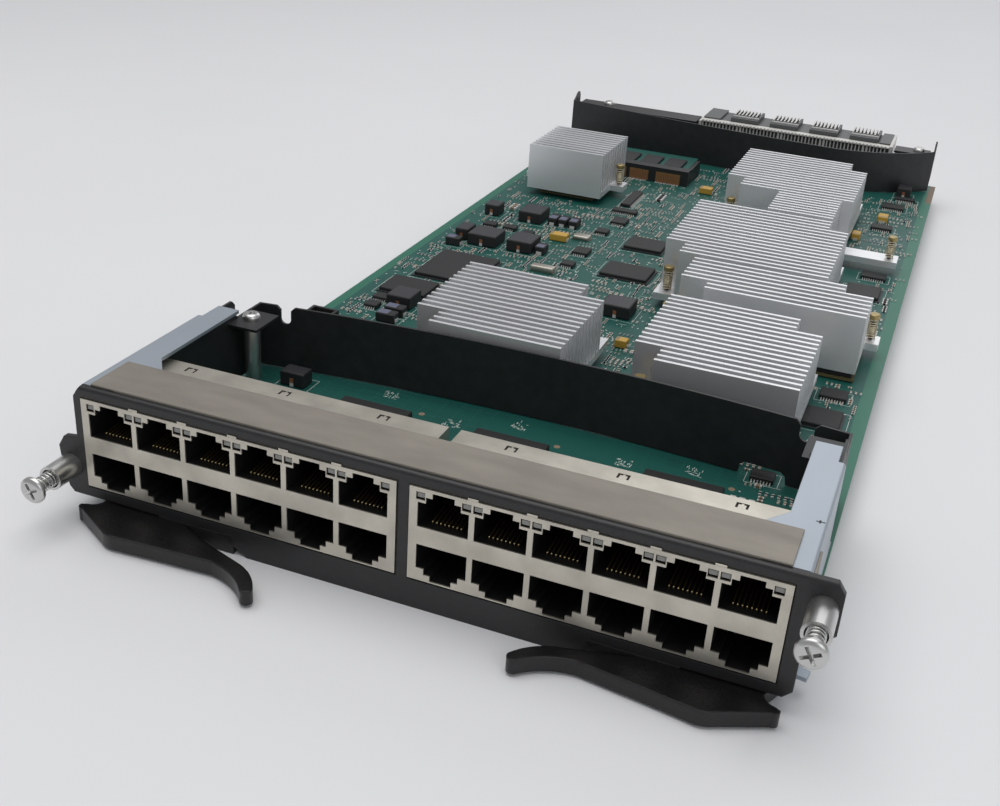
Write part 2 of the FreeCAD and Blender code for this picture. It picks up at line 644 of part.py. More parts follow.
# ---- heatsinks ---------------------------------------------------------------------------
def heatsink(name):
    """An extruded sink: plain base, thin fins along X, notched at two corners for push pins."""
    body = new_body(f"heatsink_{name}")
    west, east, front, rear = (f"{name}_{key}" for key in ("west", "east", "front", "rear"))
    prism(body, "Pad", "z", "sink_base_low", "sink_base_high", rectangle(west, east, front, rear))
    fin = prism(body, "Pad", "z", "sink_base_high - 0.2", "sink_top",
                rectangle(west, east, front, f"{front} + fin_thick"))
    repeat(body, [fin], "V_Axis", f"{rear} - {front} - fin_thick", f"{name}_fins")
    if SIZE[f"{name}_notch"]:
        notch, deep = f"{name}_notch", f"{name}_notch_deep"
        prism(body, "Pocket", "z", "sink_base_high", "sink_top",
              rectangle(f"{west} - 1", f"{west} + {notch}", f"{front} - 1", f"{front} + {deep} - 0.6"),
              rectangle(f"{east} - {notch}", f"{east} + 1", f"{rear} - {deep} + 0.6", f"{rear} + 1"))
    for x0, x1, y0, y1 in SINK_ARMS.get(name, ()):
        prism(body, "Pad", "z", "sink_base_low", "sink_base_high", rectangle(x0, x1, y0, y1))


# arms of the base that carry push pins outside the fins
SINK_ARMS = {
    "rear_left": [("-48", "-39", "309", "317"), ("-85.4", "-76", "309", "317")],
    "rear_small": [("56", "85.8", "271", "280.4")],
    "centre_wide": [("80", "88.4", "182.4", "190.2"), ("17.4", "26", "157.2", "165")],
}

PINS = {
    "rear_left": [("-42", "313"), ("-82.4", "313")],
    "rear_right": [("13.6", "291.6"), ("60", "340.6")],
    "rear_small": [("82.4", "275.8")],
    "centre_right": [("11.6", "195.4"), ("63.6", "250")],
    "centre_wide": [("85.2", "187"), ("20.4", "160.2")],
    "front_right": [("27.6", "100.6"), ("69.4", "143.6")],
    "front_left": [("-40", "94.3"), ("1.8", "137.2")],
}


def push_pins():
    pins, coils, washers = [], [], []
    for x, y in [spot for spots in PINS.values() for spot in spots]:
        shaft = bar("pin_radius", "pin_cap_low - sink_base_high", x, y, "sink_base_high + 0.02")
        cap = bar("pin_cap_radius", "pin_cap_high - pin_cap_low", x, y, "pin_cap_low")
        pins.append(fuse(shaft, cap))
        tube = bar("coil_radius", "pin_cap_low - sink_base_high - 0.1", x, y, "sink_base_high + 0.05")
        bore = bar("coil_bore", "pin_cap_high", x, y, "sink_base_high - 0.5")
        coils.append(cut(tube, bore))
    group("push_pins", pins)
    group("push_pin_springs", coils)


def packages():
    """The processors under the heatsinks, and the soft pads between."""
    chips, pads = [], []
    for name in SINKS:
        west, east, front, rear = (f"{name}_{key}" for key in ("west", "east", "front", "rear"))
        margin = "wide_margin" if name == "centre_wide" else "package_margin"
        chips.append(block(f"{west} + {margin}", f"{east} - {margin}", f"{front} + {margin}",
                           f"{rear} - {margin}", "package_low", "package_high", name="Package"))
        pads.append(block(f"{west} + {margin} + 1", f"{east} - {margin} - 1", f"{front} + {margin} + 1",
                          f"{rear} - {margin} - 1", "package_high", "sink_base_low", name="Pad"))
    group("processors", chips)
    group("thermal_pads", pads)


# ---- parts on the board ------------------------------------------------------------------
def chip(x, y, wide, deep, high, low=0.15):
    return block(str(x - wide / 2), str(x + wide / 2), str(y - deep / 2), str(y + deep / 2), str(low),
                 str(low + high), name="Chip")


# middle x, y, size along x and y of each package, by kind, and the height of the kind
FLAT_CHIPS = [(-68, 188.8, 25, 29.4), (-75.5, 161.5, 19, 15.4), (-11.3, 252, 17, 15), (-9.3, 218, 20, 16),
              (76.8, 245, 14, 14), (78.4, 128, 13.4, 13.4)]
LONG_CHIPS = [(-34.3, 310, 4.4, 22), (-31.8, 290.5, 11, 4.4), (-29.8, 276, 6.4, 7.8), (-32.2, 231, 6.4, 7),
              (-79.5, 140.2, 5, 4.6), (79.6, 146.6, 8.6, 6.4), (78.6, 265, 9.6, 6.2), (74.6, 331, 9, 6),
              (76, 366, 10, 7), (69, 84, 6.6, 5), (77, 65.6, 3.6, 3), (-32.4, 259, 5.4, 5),
              (-32.4, 214.5, 5.3, 4.6), (-79.6, 148, 6, 4.6), (-76.4, 242.6, 5.6, 4), (-67.6, 243, 5.6, 4),
              (-58.6, 240, 4.6, 4), (80, 381.6, 9.4, 3.4)]
INDUCTORS = [(-70.4, 223.2, 12.4, 12.2), (-54.7, 224.2, 10.8, 12.4), (-80.3, 225, 5.8, 9.4),
             (-81.4, 259.5, 6.6, 8), (-63.8, 261, 10.4, 12.6), (-1, 178.4, 11, 11), (-72, 74.5, 8.4, 6),
             (-71, 147.6, 9.4, 10.4), (78.6, 390, 6.6, 7)]
TANTALS = [(-45.5, 241.4, 7.3, 4.3), (73.7, 343.4, 4.3, 6), (65.8, 311.6, 3.6, 5.4), (-7, 340.5, 6, 4.3),
           (8.4, 150.6, 4.2, 3.4)]
DARK_CAPS = [(-54.3, 260.4, 3.8, 6.8), (-49.9, 260.4, 3.8, 6.8), (-45.2, 260.4, 3.8, 6.8),
             (-46.6, 223, 4, 6), (-80.8, 214.4, 6, 4.2), (-69.6, 131.4, 7, 4.2), (-69.4, 137.6, 7, 4.2)]


def small_parts():
    group("flat_packages", [chip(*spot, 1.5, 0.25) for spot in FLAT_CHIPS])
    group("leaded_chips", [chip(*spot, 1.5) for spot in LONG_CHIPS])
    group("power_inductors", [chip(*spot, 4.6) for spot in INDUCTORS])
    group("tantalum_capacitors", [chip(*spot, 2.8) for spot in TANTALS])
    group("polymer_capacitors", [chip(*spot, 3.2) for spot in DARK_CAPS])
    group("line_transformers", [chip(x, 50.4, 18, 8, 2.2) for x in (-54, -8, 42)])
    group("crystal_and_oscillator", [chip(-39, 203.8, 9.6, 4, 2.4), chip(-37.6, 247.6, 7, 5, 1.8)])


def pin_header():
    """An open shrouded header behind the front baffle."""
    shell = block("-88.4", "-79", "104", "114.6", "0.1", "8")
    well = block("-87.4", "-80", "105", "113.6", "1.2", "9")
    keep(cut(shell, well), "header_shell")
    pins = [block(str(-85.6 + column * 2.54), str(-84.96 + column * 2.54), str(107.2 + row * 3.4),
                  str(107.84 + row * 3.4), "1.25", "6.4") for column in range(2) for row in range(2)]
    group("header_pins", pins)


def memory_module():
    """A small board of memory chips lying in its black socket."""
    keep(block("memory_west + 2.4", "memory_east - 2.4", "memory_front + 3", "memory_front + 31", "5.0", "6.0"),
         "memory_board")
    group("memory_chips", [chip(-27.2 - column * 11.5, 358.2, 8.6, 14.4, 1.2, 6.05) for column in range(5)])
    rail = cut(block("memory_west", "memory_east", "memory_front", "memory_front + 6", "0.1", "7.2"),
               block("memory_west + 2.2", "memory_east - 2.2", "memory_front + 2.8", "memory_front + 7", "4.9", "6.1"))
    arms = [block(west, f"{west} + 1.8", "memory_front + 6", "memory_front + 25", "0.1", "6.6")
            for west in ("memory_west", "memory_east - 1.8")]
    keep(fuse(rail, *arms), "memory_socket")


# ---- ejector levers ----------------------------------------------------------------------
def lever_edges(way):
    """The handle's outline about its pivot, for the right lever; way -1 mirrors it."""
    def turned(points):
        return [(way * x, y) for x, y in points]

    hub = SIZE["hub_radius"]
    straight = [
        [(-38.3, -13.7), (-23.0, -15.9)], [(-23.0, -15.9), (-12.4, -17.6)], [(-6.6, -16.7), (4.0, -11.8)],
        [(5.6, -10.2), (4.2, -9.4)], [(1.4, -6.4), (hub, 0)], [(-hub * 0.5, hub * 0.866), (-30.0, -7.2)],
        [(-30.0, -7.2), (-45.0, -10.9)],
    ]
    round_stretches = [
        [(-50.6, -19.0), (-45.2, -15.3), (-38.3, -13.7)],
        [(-12.4, -17.6), (-9.4, -17.8), (-6.6, -16.7)],
        [(4.0, -11.8), (5.4, -11.3), (5.6, -10.2)],
        [(4.2, -9.4), (2.2, -8.3), (1.4, -6.4)],
        [(hub, 0), (hub * 0.6, hub * 0.8), (-hub * 0.5, hub * 0.866)],
        [(-45.0, -10.9), (-50.0, -13.6), (-53.4, -17.4)],
        [(-53.4, -17.4), (-52.7, -19.5), (-50.6, -19.0)],
    ]
    edges = [Part.LineSegment(*[FreeCAD.Vector(x, y, 0) for x, y in turned(run)]) for run in straight]
    return edges + [arc(*turned(run)) for run in round_stretches]


def lever(side, pivot, way):
    """A moulded handle with a riveted steel jaw, both drawn about the pivot."""
    open_turn = f"{way} * {'left_open' if side == 'left' else '0'}"
    body = new_body(f"lever_{side}")
    prism(body, "Pad", "z", "lever_low", "lever_top", curves=lever_edges(way))
    top = SIZE["lever_top"]
    drill(body, "0", "0", "pivot_radius + pivot_gap", "lever_low", "lever_top")
    hook = [(-2.4, 3.0), (2.2, 3.6), (6.6, 5.6), (9.4, 4.6), (9.0, 1.6), (6.4, 2.0), (3.9, -0.6), (0.8, -3.4), (-3.0, -2.4)]
    jaw = new_body(f"lever_jaw_{side}")
    prism(jaw, "Pad", "z", "lever_top", "lever_top + jaw_thick", [(str(way * x), str(y)) for x, y in hook])
    drill(jaw, "0", "0", "pivot_radius + pivot_gap", "lever_top", "lever_top + jaw_thick")
    for piece in (body, jaw):
        at(piece, pivot, "pivot_back")
        if side == "left":
            bind(piece, Placement__Rotation__Angle="left_open")
            piece.Placement.Rotation.Axis = FreeCAD.Vector(0, 0, -1)


def lever_mounts():
    """A plated strip under the board at each corner, and the rivet that the lever turns on."""
    plates, rivets = [], []
    for pivot, way in (("pivot_left", -1), ("pivot_right", 1)):
        west, east = sorted((f"{pivot} - {way} * 8", f"{pivot} + {way} * 6"), key=value)
        plate = block(west, east, "0.4", "22", "mount_low", "-board_thick - 0.02")
        hole = rod("pivot_radius + 0.02", "2", pivot, "pivot_back", "mount_low - 0.5")
        plates.append(cut(plate, hole))
        shaft = rod("pivot_radius", "-board_thick - lever_low + 0.4", pivot, "pivot_back", "lever_low - 0.42")
        head = rod("rivet_radius", "0.5", pivot, "pivot_back", "lever_low - 0.6")
        rivets.append(fuse(head, shaft))
    group("lever_mounts", plates)
    group("lever_rivets", rivets)


# ---- captive screws ----------------------------------------------------------------------
def revolved(label, x, z, profile):
    """A turned piece about a line along Y: profile points are (place along Y, radius)."""
    body = new_body(label)
    sketch = new_sketch(body, "x", "0")
    outline(sketch, profile)
    turn = body.newObject("PartDesign::Revolution", "Turn")
    turn.Profile = sketch
    turn.ReferenceAxis = (sketch, ["H_Axis"])
    turn.Angle = 360
    body.Tip = turn
    at(body, x, 0, z)
    doc.recompute()
    return body


def captive_screw(side):
    x, z = f"captive_{side}_x", f"captive_{side}_z"
    mouth = f"sleeve_front_{side}"
    seat = f"({mouth} - captive_travel)"
    face = f"({seat} - head_thick)"
    revolved(f"captive_sleeve_{side}", x, z, [
        (mouth, "sleeve_bore"), ("sleeve_floor", "sleeve_bore"), ("sleeve_floor", "captive_hole"),
        ("0", "captive_hole"), ("0", "captive_hole + 0.68"), ("-panel_thick - 0.02", "captive_hole + 0.68"),
        ("-panel_thick - 0.02", "sleeve_radius"), (mouth, "sleeve_radius")])
    revolved(f"captive_screw_{side}", x, z, [
        (face, "0"), (face, "captive_head"), (seat, "captive_head"), (seat, "captive_shank"),
        ("clip_groove - 0.1", "captive_shank"), ("clip_groove - 0.1", "captive_shank - 0.35"),
        ("clip_groove + clip_thick + 0.1", "captive_shank - 0.35"),
        ("clip_groove + clip_thick + 0.1", "captive_shank"), ("captive_tip", "captive_shank"),
        ("captive_tip", "0")])
    ring = rod("clip_radius", "clip_thick", x, "clip_groove", z, ALONG_Y)
    eye = rod("captive_shank - 0.28", "2", x, "clip_groove - 1", z, ALONG_Y)
    gap = block(f"{x} - 0.9", f"{x} + 0.9", "clip_groove - 1", "clip_groove + 1", f"{z} - 4", z)
    keep(cut(ring, eye, gap), f"captive_clip_{side}")
    tube = bar("sleeve_bore - 0.35", f"sleeve_floor - {seat} - 0.1", x, f"{seat} + 0.05", z, ALONG_Y)
    bore = bar("captive_shank + 0.2", "20", x, f"{seat} - 1", z, ALONG_Y)
    keep(cut(tube, bore), f"captive_spring_{side}")


# ---- build -------------------------------------------------------------------------------
main_board()
front_panel()
for side, centre in (("left", "-block_centre"), ("right", "block_centre")):
    jack_housing(side, centre)
    jack_shield(side, centre)
jack_contacts()
port_lights()
shield_gasket()
side_gaskets()
bracket("left", "bracket_left_outer", 1)
bracket("right", "bracket_right_outer", -1)
front_baffle()
rear_baffle()
rear_stiffener("left", "-92.4", "-29", REAR_STANDOFFS[0])
rear_stiffener("right", "69.4", "86", REAR_STANDOFFS[1])
standoffs()
underside_screws()
backplane_plug()
for name in SINKS:
    heatsink(name)
push_pins()
packages()
small_parts()
pin_header()
memory_module()
lever("left", "pivot_left", -1)
lever("right", "pivot_right", 1)
lever_mounts()
for side in ("left", "right"):
    captive_screw(side)

doc.recompute()
for thing in doc.Objects:
    if {"Invalid", "Error"} & set(thing.State):
        raise RuntimeError(f"{thing.Label} did not compute: {thing.State}")
os.makedirs("parts", exist_ok=True)
for thing in subparts:
    if thing.Shape.isNull() or not thing.Shape.isValid():
        raise RuntimeError(f"{thing.Label} has no valid shape")
    thing.Shape.exportStep(f"parts/{thing.Label}.step")
    print(thing.Label, len(thing.Shape.Solids), round(thing.Shape.Volume, 1))
print(len(subparts), "sub-parts")
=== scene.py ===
import math
import random

import bmesh
import bpy
from mathutils import Matrix, Vector


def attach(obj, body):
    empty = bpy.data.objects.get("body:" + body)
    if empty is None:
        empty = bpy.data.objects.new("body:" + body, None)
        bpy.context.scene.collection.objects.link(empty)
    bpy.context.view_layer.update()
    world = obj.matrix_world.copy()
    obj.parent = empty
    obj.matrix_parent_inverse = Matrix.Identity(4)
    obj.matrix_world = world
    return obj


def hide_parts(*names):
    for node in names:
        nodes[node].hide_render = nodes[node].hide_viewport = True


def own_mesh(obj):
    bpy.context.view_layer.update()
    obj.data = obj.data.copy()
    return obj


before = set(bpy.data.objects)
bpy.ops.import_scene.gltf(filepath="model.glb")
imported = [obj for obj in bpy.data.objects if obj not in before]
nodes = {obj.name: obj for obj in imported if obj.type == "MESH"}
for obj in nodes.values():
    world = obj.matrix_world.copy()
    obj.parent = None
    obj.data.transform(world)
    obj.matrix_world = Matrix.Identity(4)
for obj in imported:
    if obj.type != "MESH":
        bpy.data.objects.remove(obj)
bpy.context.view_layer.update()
rng = random.Random(11)
mm = 0.001
print("frame loaded")


# materials
# a plain finish, which the helpers below can add nodes to
def makeMaterial(name, color, rough=0.5, metal=0.0, coat=0.0, **extra):
    mat = bpy.data.materials.new(name)
    mat.use_nodes = True
    shader = mat.node_tree.nodes["Principled BSDF"]
    shader.inputs["Base Color"].default_value = (*color, 1)
    shader.inputs["Roughness"].default_value = rough
    shader.inputs["Metallic"].default_value = metal
    shader.inputs["Coat Weight"].default_value = coat
    for key, value in extra.items():
        shader.inputs[key.replace("_", " ")].default_value = value
    return mat


# uneven tone and a little relief in object coordinates, in metres
def addNoise(mat, scale, stretch=(1, 1, 1), dark=0.85, light=1.1, bump=0.0, bumpScale=None):
    tree = mat.node_tree
    shader = tree.nodes["Principled BSDF"]
    coord = tree.nodes.new("ShaderNodeTexCoord")
    mapping = tree.nodes.new("ShaderNodeMapping")
    mapping.inputs["Scale"].default_value = stretch
    tree.links.new(coord.outputs["Object"], mapping.inputs["Vector"])
    noise = tree.nodes.new("ShaderNodeTexNoise")
    noise.inputs["Scale"].default_value = scale
    noise.inputs["Detail"].default_value = 4
    tree.links.new(mapping.outputs["Vector"], noise.inputs["Vector"])
    spread = tree.nodes.new("ShaderNodeMapRange")
    spread.inputs["From Min"].default_value = 0.3
    spread.inputs["From Max"].default_value = 0.7
    spread.inputs["To Min"].default_value = dark
    spread.inputs["To Max"].default_value = light
    tree.links.new(noise.outputs["Fac"], spread.inputs["Value"])
    mix = tree.nodes.new("ShaderNodeMix")
    mix.data_type = "RGBA"
    mix.blend_type = "MULTIPLY"
    mix.inputs["Factor"].default_value = 1
    mix.inputs[6].default_value = shader.inputs["Base Color"].default_value
    tree.links.new(spread.outputs["Result"], mix.inputs[7])
    tree.links.new(mix.outputs[2], shader.inputs["Base Color"])
    if bump:
        relief = tree.nodes.new("ShaderNodeBump")
        relief.inputs["Strength"].default_value = bump
        relief.inputs["Distance"].default_value = 0.0002
        source = noise
        if bumpScale:
            source = tree.nodes.new("ShaderNodeTexNoise")
            source.inputs["Scale"].default_value = bumpScale
            tree.links.new(mapping.outputs["Vector"], source.inputs["Vector"])
        tree.links.new(source.outputs["Fac"], relief.inputs["Height"])
        tree.links.new(relief.outputs["Normal"], shader.inputs["Normal"])
    return mat


# softens the sharp edges of a folded or moulded piece in its shading
def addRoundEdges(mat, radius):
    tree = mat.node_tree
    bevel = tree.nodes.new("ShaderNodeBevel")
    bevel.samples = 4
    bevel.inputs["Radius"].default_value = radius * mm
    relief = [node for node in tree.nodes if node.type == "BUMP"]
    target = relief[0] if relief else tree.nodes["Principled BSDF"]
    tree.links.new(bevel.outputs["Normal"], target.inputs["Normal"])
    return mat


paint = {
    "panel": makeMaterial("panelBlack", (0.017, 0.017, 0.018), 0.40),
    "lever": makeMaterial("leverBlack", (0.006, 0.006, 0.0065), 0.34),
    "zinc": makeMaterial("zincPlate", (0.40, 0.445, 0.50), 0.42, 0.6),
    "shield": makeMaterial("nickelShield", (0.60, 0.565, 0.49), 0.36, 0.85),
    "housing": makeMaterial("jackBlack", (0.006, 0.006, 0.006), 0.5),
    "gold": makeMaterial("contactGold", (0.95, 0.74, 0.36), 0.36, 0.6),
    # a darker copy of the contact gold: painted shade on the wires inside the jacks
    "goldPaintedShade": makeMaterial("contactShade", (0.17, 0.125, 0.06), 0.4, 0.8),
    "light": makeMaterial("lightPipe", (0.25, 0.25, 0.235), 0.3, 0.0, 0.3),
    "tape": makeMaterial("gasketCloth", (0.27, 0.245, 0.21), 0.50, 0.35),
    "baffle": makeMaterial("baffleBlack", (0.014, 0.015, 0.016), 0.46),
    "dark": makeMaterial("blackCoat", (0.014, 0.014, 0.015), 0.45),
    "steel": makeMaterial("plainSteel", (0.60, 0.60, 0.585), 0.3, 0.95),
    "sink": makeMaterial("millAluminium", (0.83, 0.835, 0.85), 0.38, 0.72),
    "brass": makeMaterial("turnedBrass", (0.36, 0.28, 0.12), 0.36, 0.7),
    "pinWire": makeMaterial("pinWire", (0.52, 0.46, 0.32), 0.34, 0.75),
    "package": makeMaterial("moulded", (0.014, 0.014, 0.015), 0.58),
    "ferrite": makeMaterial("ferrite", (0.035, 0.035, 0.04), 0.55),
    "slate": makeMaterial("slateTop", (0.030, 0.031, 0.036), 0.42),
    "blue": makeMaterial("canBlue", (0.14, 0.15, 0.22), 0.4, 0.2),
    "pad": makeMaterial("padGrey", (0.36, 0.36, 0.37), 0.8),
    "substrate": makeMaterial("substrateOlive", (0.10, 0.085, 0.035), 0.5),
    "tantalum": makeMaterial("tantalumYellow", (0.55, 0.33, 0.05), 0.42),
    "can": makeMaterial("canSteel", (0.42, 0.40, 0.35), 0.38, 0.8),
    "plug": makeMaterial("plugGrey", (0.10, 0.105, 0.105), 0.5),
    "wafer": makeMaterial("waferLight", (0.62, 0.61, 0.58), 0.42, 0.15),
    "tin": makeMaterial("tinnedLead", (0.66, 0.66, 0.64), 0.38, 0.25),
    "copper": makeMaterial("terminalCopper", (0.42, 0.17, 0.09), 0.38, 0.5),
    "cream": makeMaterial("ceramicTan", (0.25, 0.19, 0.13), 0.45),
    "white": makeMaterial("whiteInk", (0.62, 0.66, 0.62), 0.6),
    "contacts": makeMaterial("contactField", (0.24, 0.14, 0.055), 0.45, 0.3),
}
addNoise(paint["panel"], 900, bump=0.25)
addNoise(paint["lever"], 1100, bump=0.6)
addNoise(paint["zinc"], 60, (1, 0.3, 1), 0.92, 1.05)
addNoise(paint["shield"], 120, (1, 1, 1), 0.8, 1.06)
addNoise(paint["tape"], 55, (1, 3, 1), 0.86, 1.1, bump=0.5, bumpScale=2600)
addNoise(paint["baffle"], 300, dark=0.8, light=1.3)
addNoise(paint["sink"], 40, (0.3, 1, 1), 0.94, 1.04)
addNoise(paint["package"], 2500, bump=0.2)
softEdges = {"panel": 0.45, "lever": 0.9, "zinc": 0.3, "tape": 0.4}
for finish, radius in softEdges.items():
    addRoundEdges(paint[finish], radius)


board = {
    "mask": (0.010, 0.085, 0.070), "rough": 0.46, "specular": 0.35,
    "traces": ((0.006, 0.058, 0.050, 1), (0.009, 0.078, 0.066, 1), (0.016, 0.115, 0.094, 1)),
    "traceLong": 0.0105, "traceWide": 0.0009, "traceGap": 0.00018,
    "pour": (0.010, 0.090, 0.074, 1), "pourScale": 70, "pourShare": 0.55, "pourFade": 0.8,
    "border": (0.026, 0.150, 0.100, 1), "west": -0.0905, "east": 0.0876,
    "bare": (0.16, 0.10, 0.055, 1), "bareWest": 0.0892, "bareFront": 0.385,
}


# solder mask with faint traces and a bare border
def boardMaterial():
    mat = makeMaterial("solderMask", board["mask"], board["rough"], Specular_IOR_Level=board["specular"])
    tree = mat.node_tree
    shader = tree.nodes["Principled BSDF"]
    coord = tree.nodes.new("ShaderNodeTexCoord")

    def math2(kind, a, b):
        node = tree.nodes.new("ShaderNodeMath")
        node.operation = kind
        for slot, value in enumerate((a, b)):
            if isinstance(value, (int, float)):
                node.inputs[slot].default_value = value
            else:
                tree.links.new(value, node.inputs[slot])
        return node.outputs["Value"]

    traces = tree.nodes.new("ShaderNodeTexBrick")
    traces.inputs["Scale"].default_value = 1
    traces.inputs["Brick Width"].default_value = board["traceLong"]
    traces.inputs["Row Height"].default_value = board["traceWide"]
    traces.inputs["Mortar Size"].default_value = board["traceGap"]
    for socket, color in zip(("Color1", "Color2", "Mortar"), board["traces"]):
        traces.inputs[socket].default_value = color
    tree.links.new(coord.outputs["Object"], traces.inputs["Vector"])
    pour = tree.nodes.new("ShaderNodeTexVoronoi")
    pour.distance = "CHEBYCHEV"
    pour.inputs["Scale"].default_value = board["pourScale"]
    tree.links.new(coord.outputs["Object"], pour.inputs["Vector"])
    plane = math2("GREATER_THAN", pour.outputs["Color"], board["pourShare"])
    mix = tree.nodes.new("ShaderNodeMix")
    mix.data_type = "RGBA"
    mix.inputs[7].default_value = board["pour"]
    tree.links.new(math2("MULTIPLY", plane, board["pourFade"]), mix.inputs["Factor"])
    tree.links.new(traces.outputs["Color"], mix.inputs[6])
    split = tree.nodes.new("ShaderNodeSeparateXYZ")
    tree.links.new(coord.outputs["Object"], split.inputs["Vector"])
    west = math2("LESS_THAN", split.outputs["X"], board["west"])
    east = math2("GREATER_THAN", split.outputs["X"], board["east"])
    border = math2("MAXIMUM", west, east)
    edge = tree.nodes.new("ShaderNodeMix")
    edge.data_type = "RGBA"
    edge.inputs[7].default_value = board["border"]
    tree.links.new(border, edge.inputs["Factor"])
    tree.links.new(mix.outputs[2], edge.inputs[6])
    # bare copper showing at the rear right corner
    corner = math2("MULTIPLY", math2("GREATER_THAN", split.outputs["X"], board["bareWest"]),
                   math2("GREATER_THAN", split.outputs["Y"], board["bareFront"]))
    bare = tree.nodes.new("ShaderNodeMix")
    bare.data_type = "RGBA"
    bare.inputs[7].default_value = board["bare"]
    tree.links.new(corner, bare.inputs["Factor"])
    tree.links.new(edge.outputs[2], bare.inputs[6])
    tree.links.new(bare.outputs[2], shader.inputs["Base Color"])
    return mat


paint["board"] = boardMaterial()

finishes = {
    "panel": ["front_panel"],
    "lever": ["lever_left", "lever_right"],
    "zinc": ["bracket_left", "bracket_right", "lever_mounts", "lever_jaw_left", "lever_jaw_right"],
    "shield": ["jack_shield_left", "jack_shield_right"],
    "housing": ["jack_housing_left", "jack_housing_right"],
    "gold": ["jack_contacts", "header_pins"],
    "light": ["port_lights"],
    "tape": ["shield_gasket", "side_gaskets"],
    "baffle": ["front_baffle", "rear_baffle"],
    "dark": ["rear_stiffener_left", "rear_stiffener_right", "memory_socket", "header_shell"],
    "steel": ["standoffs", "standoff_screws", "underside_screws", "lever_rivets", "captive_sleeve_left",
              "captive_sleeve_right", "captive_screw_left", "captive_screw_right", "captive_clip_left",
              "captive_clip_right", "captive_spring_left", "captive_spring_right", "push_pin_springs"],
    "sink": [name for name in nodes if name.startswith("heatsink_")],
    "brass": ["push_pins"],
    "package": ["processors", "flat_packages", "leaded_chips", "memory_chips", "line_transformers",
                "polymer_capacitors"],
    "ferrite": ["power_inductors"],
    "pad": ["thermal_pads"],
    "tantalum": ["tantalum_capacitors"],
    "can": ["crystal_and_oscillator"],
    "plug": ["plug_housings"],
    "wafer": ["plug_wafers", "plug_end_plates"],
    "board": ["main_board", "memory_board"],
}
for finish, names in finishes.items():
    for name in names:
        nodes[name].data.materials.clear()
        nodes[name].data.materials.append(paint[finish])
print("materials done")


# mesh helpers
# turns a bmesh into an object that rides a body
def newPiece(name, mesh, finish, body="card", smooth=False, stands=()):
    bmesh.ops.recalc_face_normals(mesh, faces=mesh.faces)
    data = bpy.data.meshes.new(name)
    mesh.to_mesh(data)
    mesh.free()
    piece = bpy.data.objects.new(name, data)
    bpy.context.scene.collection.objects.link(piece)
    for each in finish if isinstance(finish, (list, tuple)) else [finish]:
        data.materials.append(paint[each])
    if smooth:
        data.polygons.foreach_set("use_smooth", [True] * len(data.polygons))
        data.set_sharp_from_angle(angle=math.radians(40))
    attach(piece, body)
    if stands:
        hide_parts(*stands)
    return piece


# a box between two corners in millimetres, bevelled if asked
def addBox(mesh, low, high, bevel=0.0, segments=1, material=0):
    corners = [mesh.verts.new((x * mm, y * mm, z * mm))
               for z in (low[2], high[2]) for y in (low[1], high[1]) for x in (low[0], high[0])]
    sides = ((0, 2, 3, 1), (4, 5, 7, 6), (0, 1, 5, 4), (1, 3, 7, 5), (3, 2, 6, 7), (2, 0, 4, 6))
    faces = [mesh.faces.new([corners[index] for index in side]) for side in sides]
    for face in faces:
        face.material_index = material
    if bevel:
        edges = list({edge for face in faces for edge in face.edges})
        bmesh.ops.bevel(mesh, geom=edges, offset=bevel * mm, offset_type="OFFSET", affect="EDGES",
                        segments=segments, profile=0.5, material=-1)


# a cylinder or cone from its lower centre, along +Z unless turned
def addRod(mesh, centre, radius, length, turn=None, sides=24, top=None, material=0):
    made = bmesh.ops.create_cone(mesh, cap_ends=True, segments=sides, radius1=radius * mm,
                                 radius2=(radius if top is None else top) * mm, depth=length * mm)
    verts = made["verts"]
    bmesh.ops.translate(mesh, vec=(0, 0, length * mm / 2), verts=verts)
    if turn:
        bmesh.ops.rotate(mesh, verts=verts, matrix=turn)
    bmesh.ops.translate(mesh, vec=Vector(centre) * mm, verts=verts)
    for face in {face for vert in verts for face in vert.link_faces}:
        face.material_index = material


# a wire wound up from its lower centre, with closed ends
def addCoil(mesh, centre, radius, wire, length, turns, turnMatrix=None, steps=16, sides=6):
    rings = []
    total = turns * steps
    for step in range(total + 1):
        share = step / total
        angle = 2 * math.pi * turns * share
        # the first and last turns lie close, as on a ground spring
        lift = share + 0.06 * math.sin(2 * math.pi * share)
        out = Vector((math.cos(angle), math.sin(angle), 0))
        spot = out * radius + Vector((0, 0, wire + lift * (length - 2 * wire)))
        ring = []
        for side in range(sides):
            around = 2 * math.pi * side / sides
            place = spot + out * (wire * math.cos(around)) + Vector((0, 0, wire * math.sin(around)))
            if turnMatrix:
                place = turnMatrix @ place
            ring.append(mesh.verts.new((place + Vector(centre)) * mm))
        rings.append(ring)
    for ring, after in zip(rings, rings[1:]):
        for side in range(sides):
            near = (side + 1) % sides
            mesh.faces.new((ring[side], ring[near], after[near], after[side]))
    mesh.faces.new(rings[0])
    mesh.faces.new(list(reversed(rings[-1])))


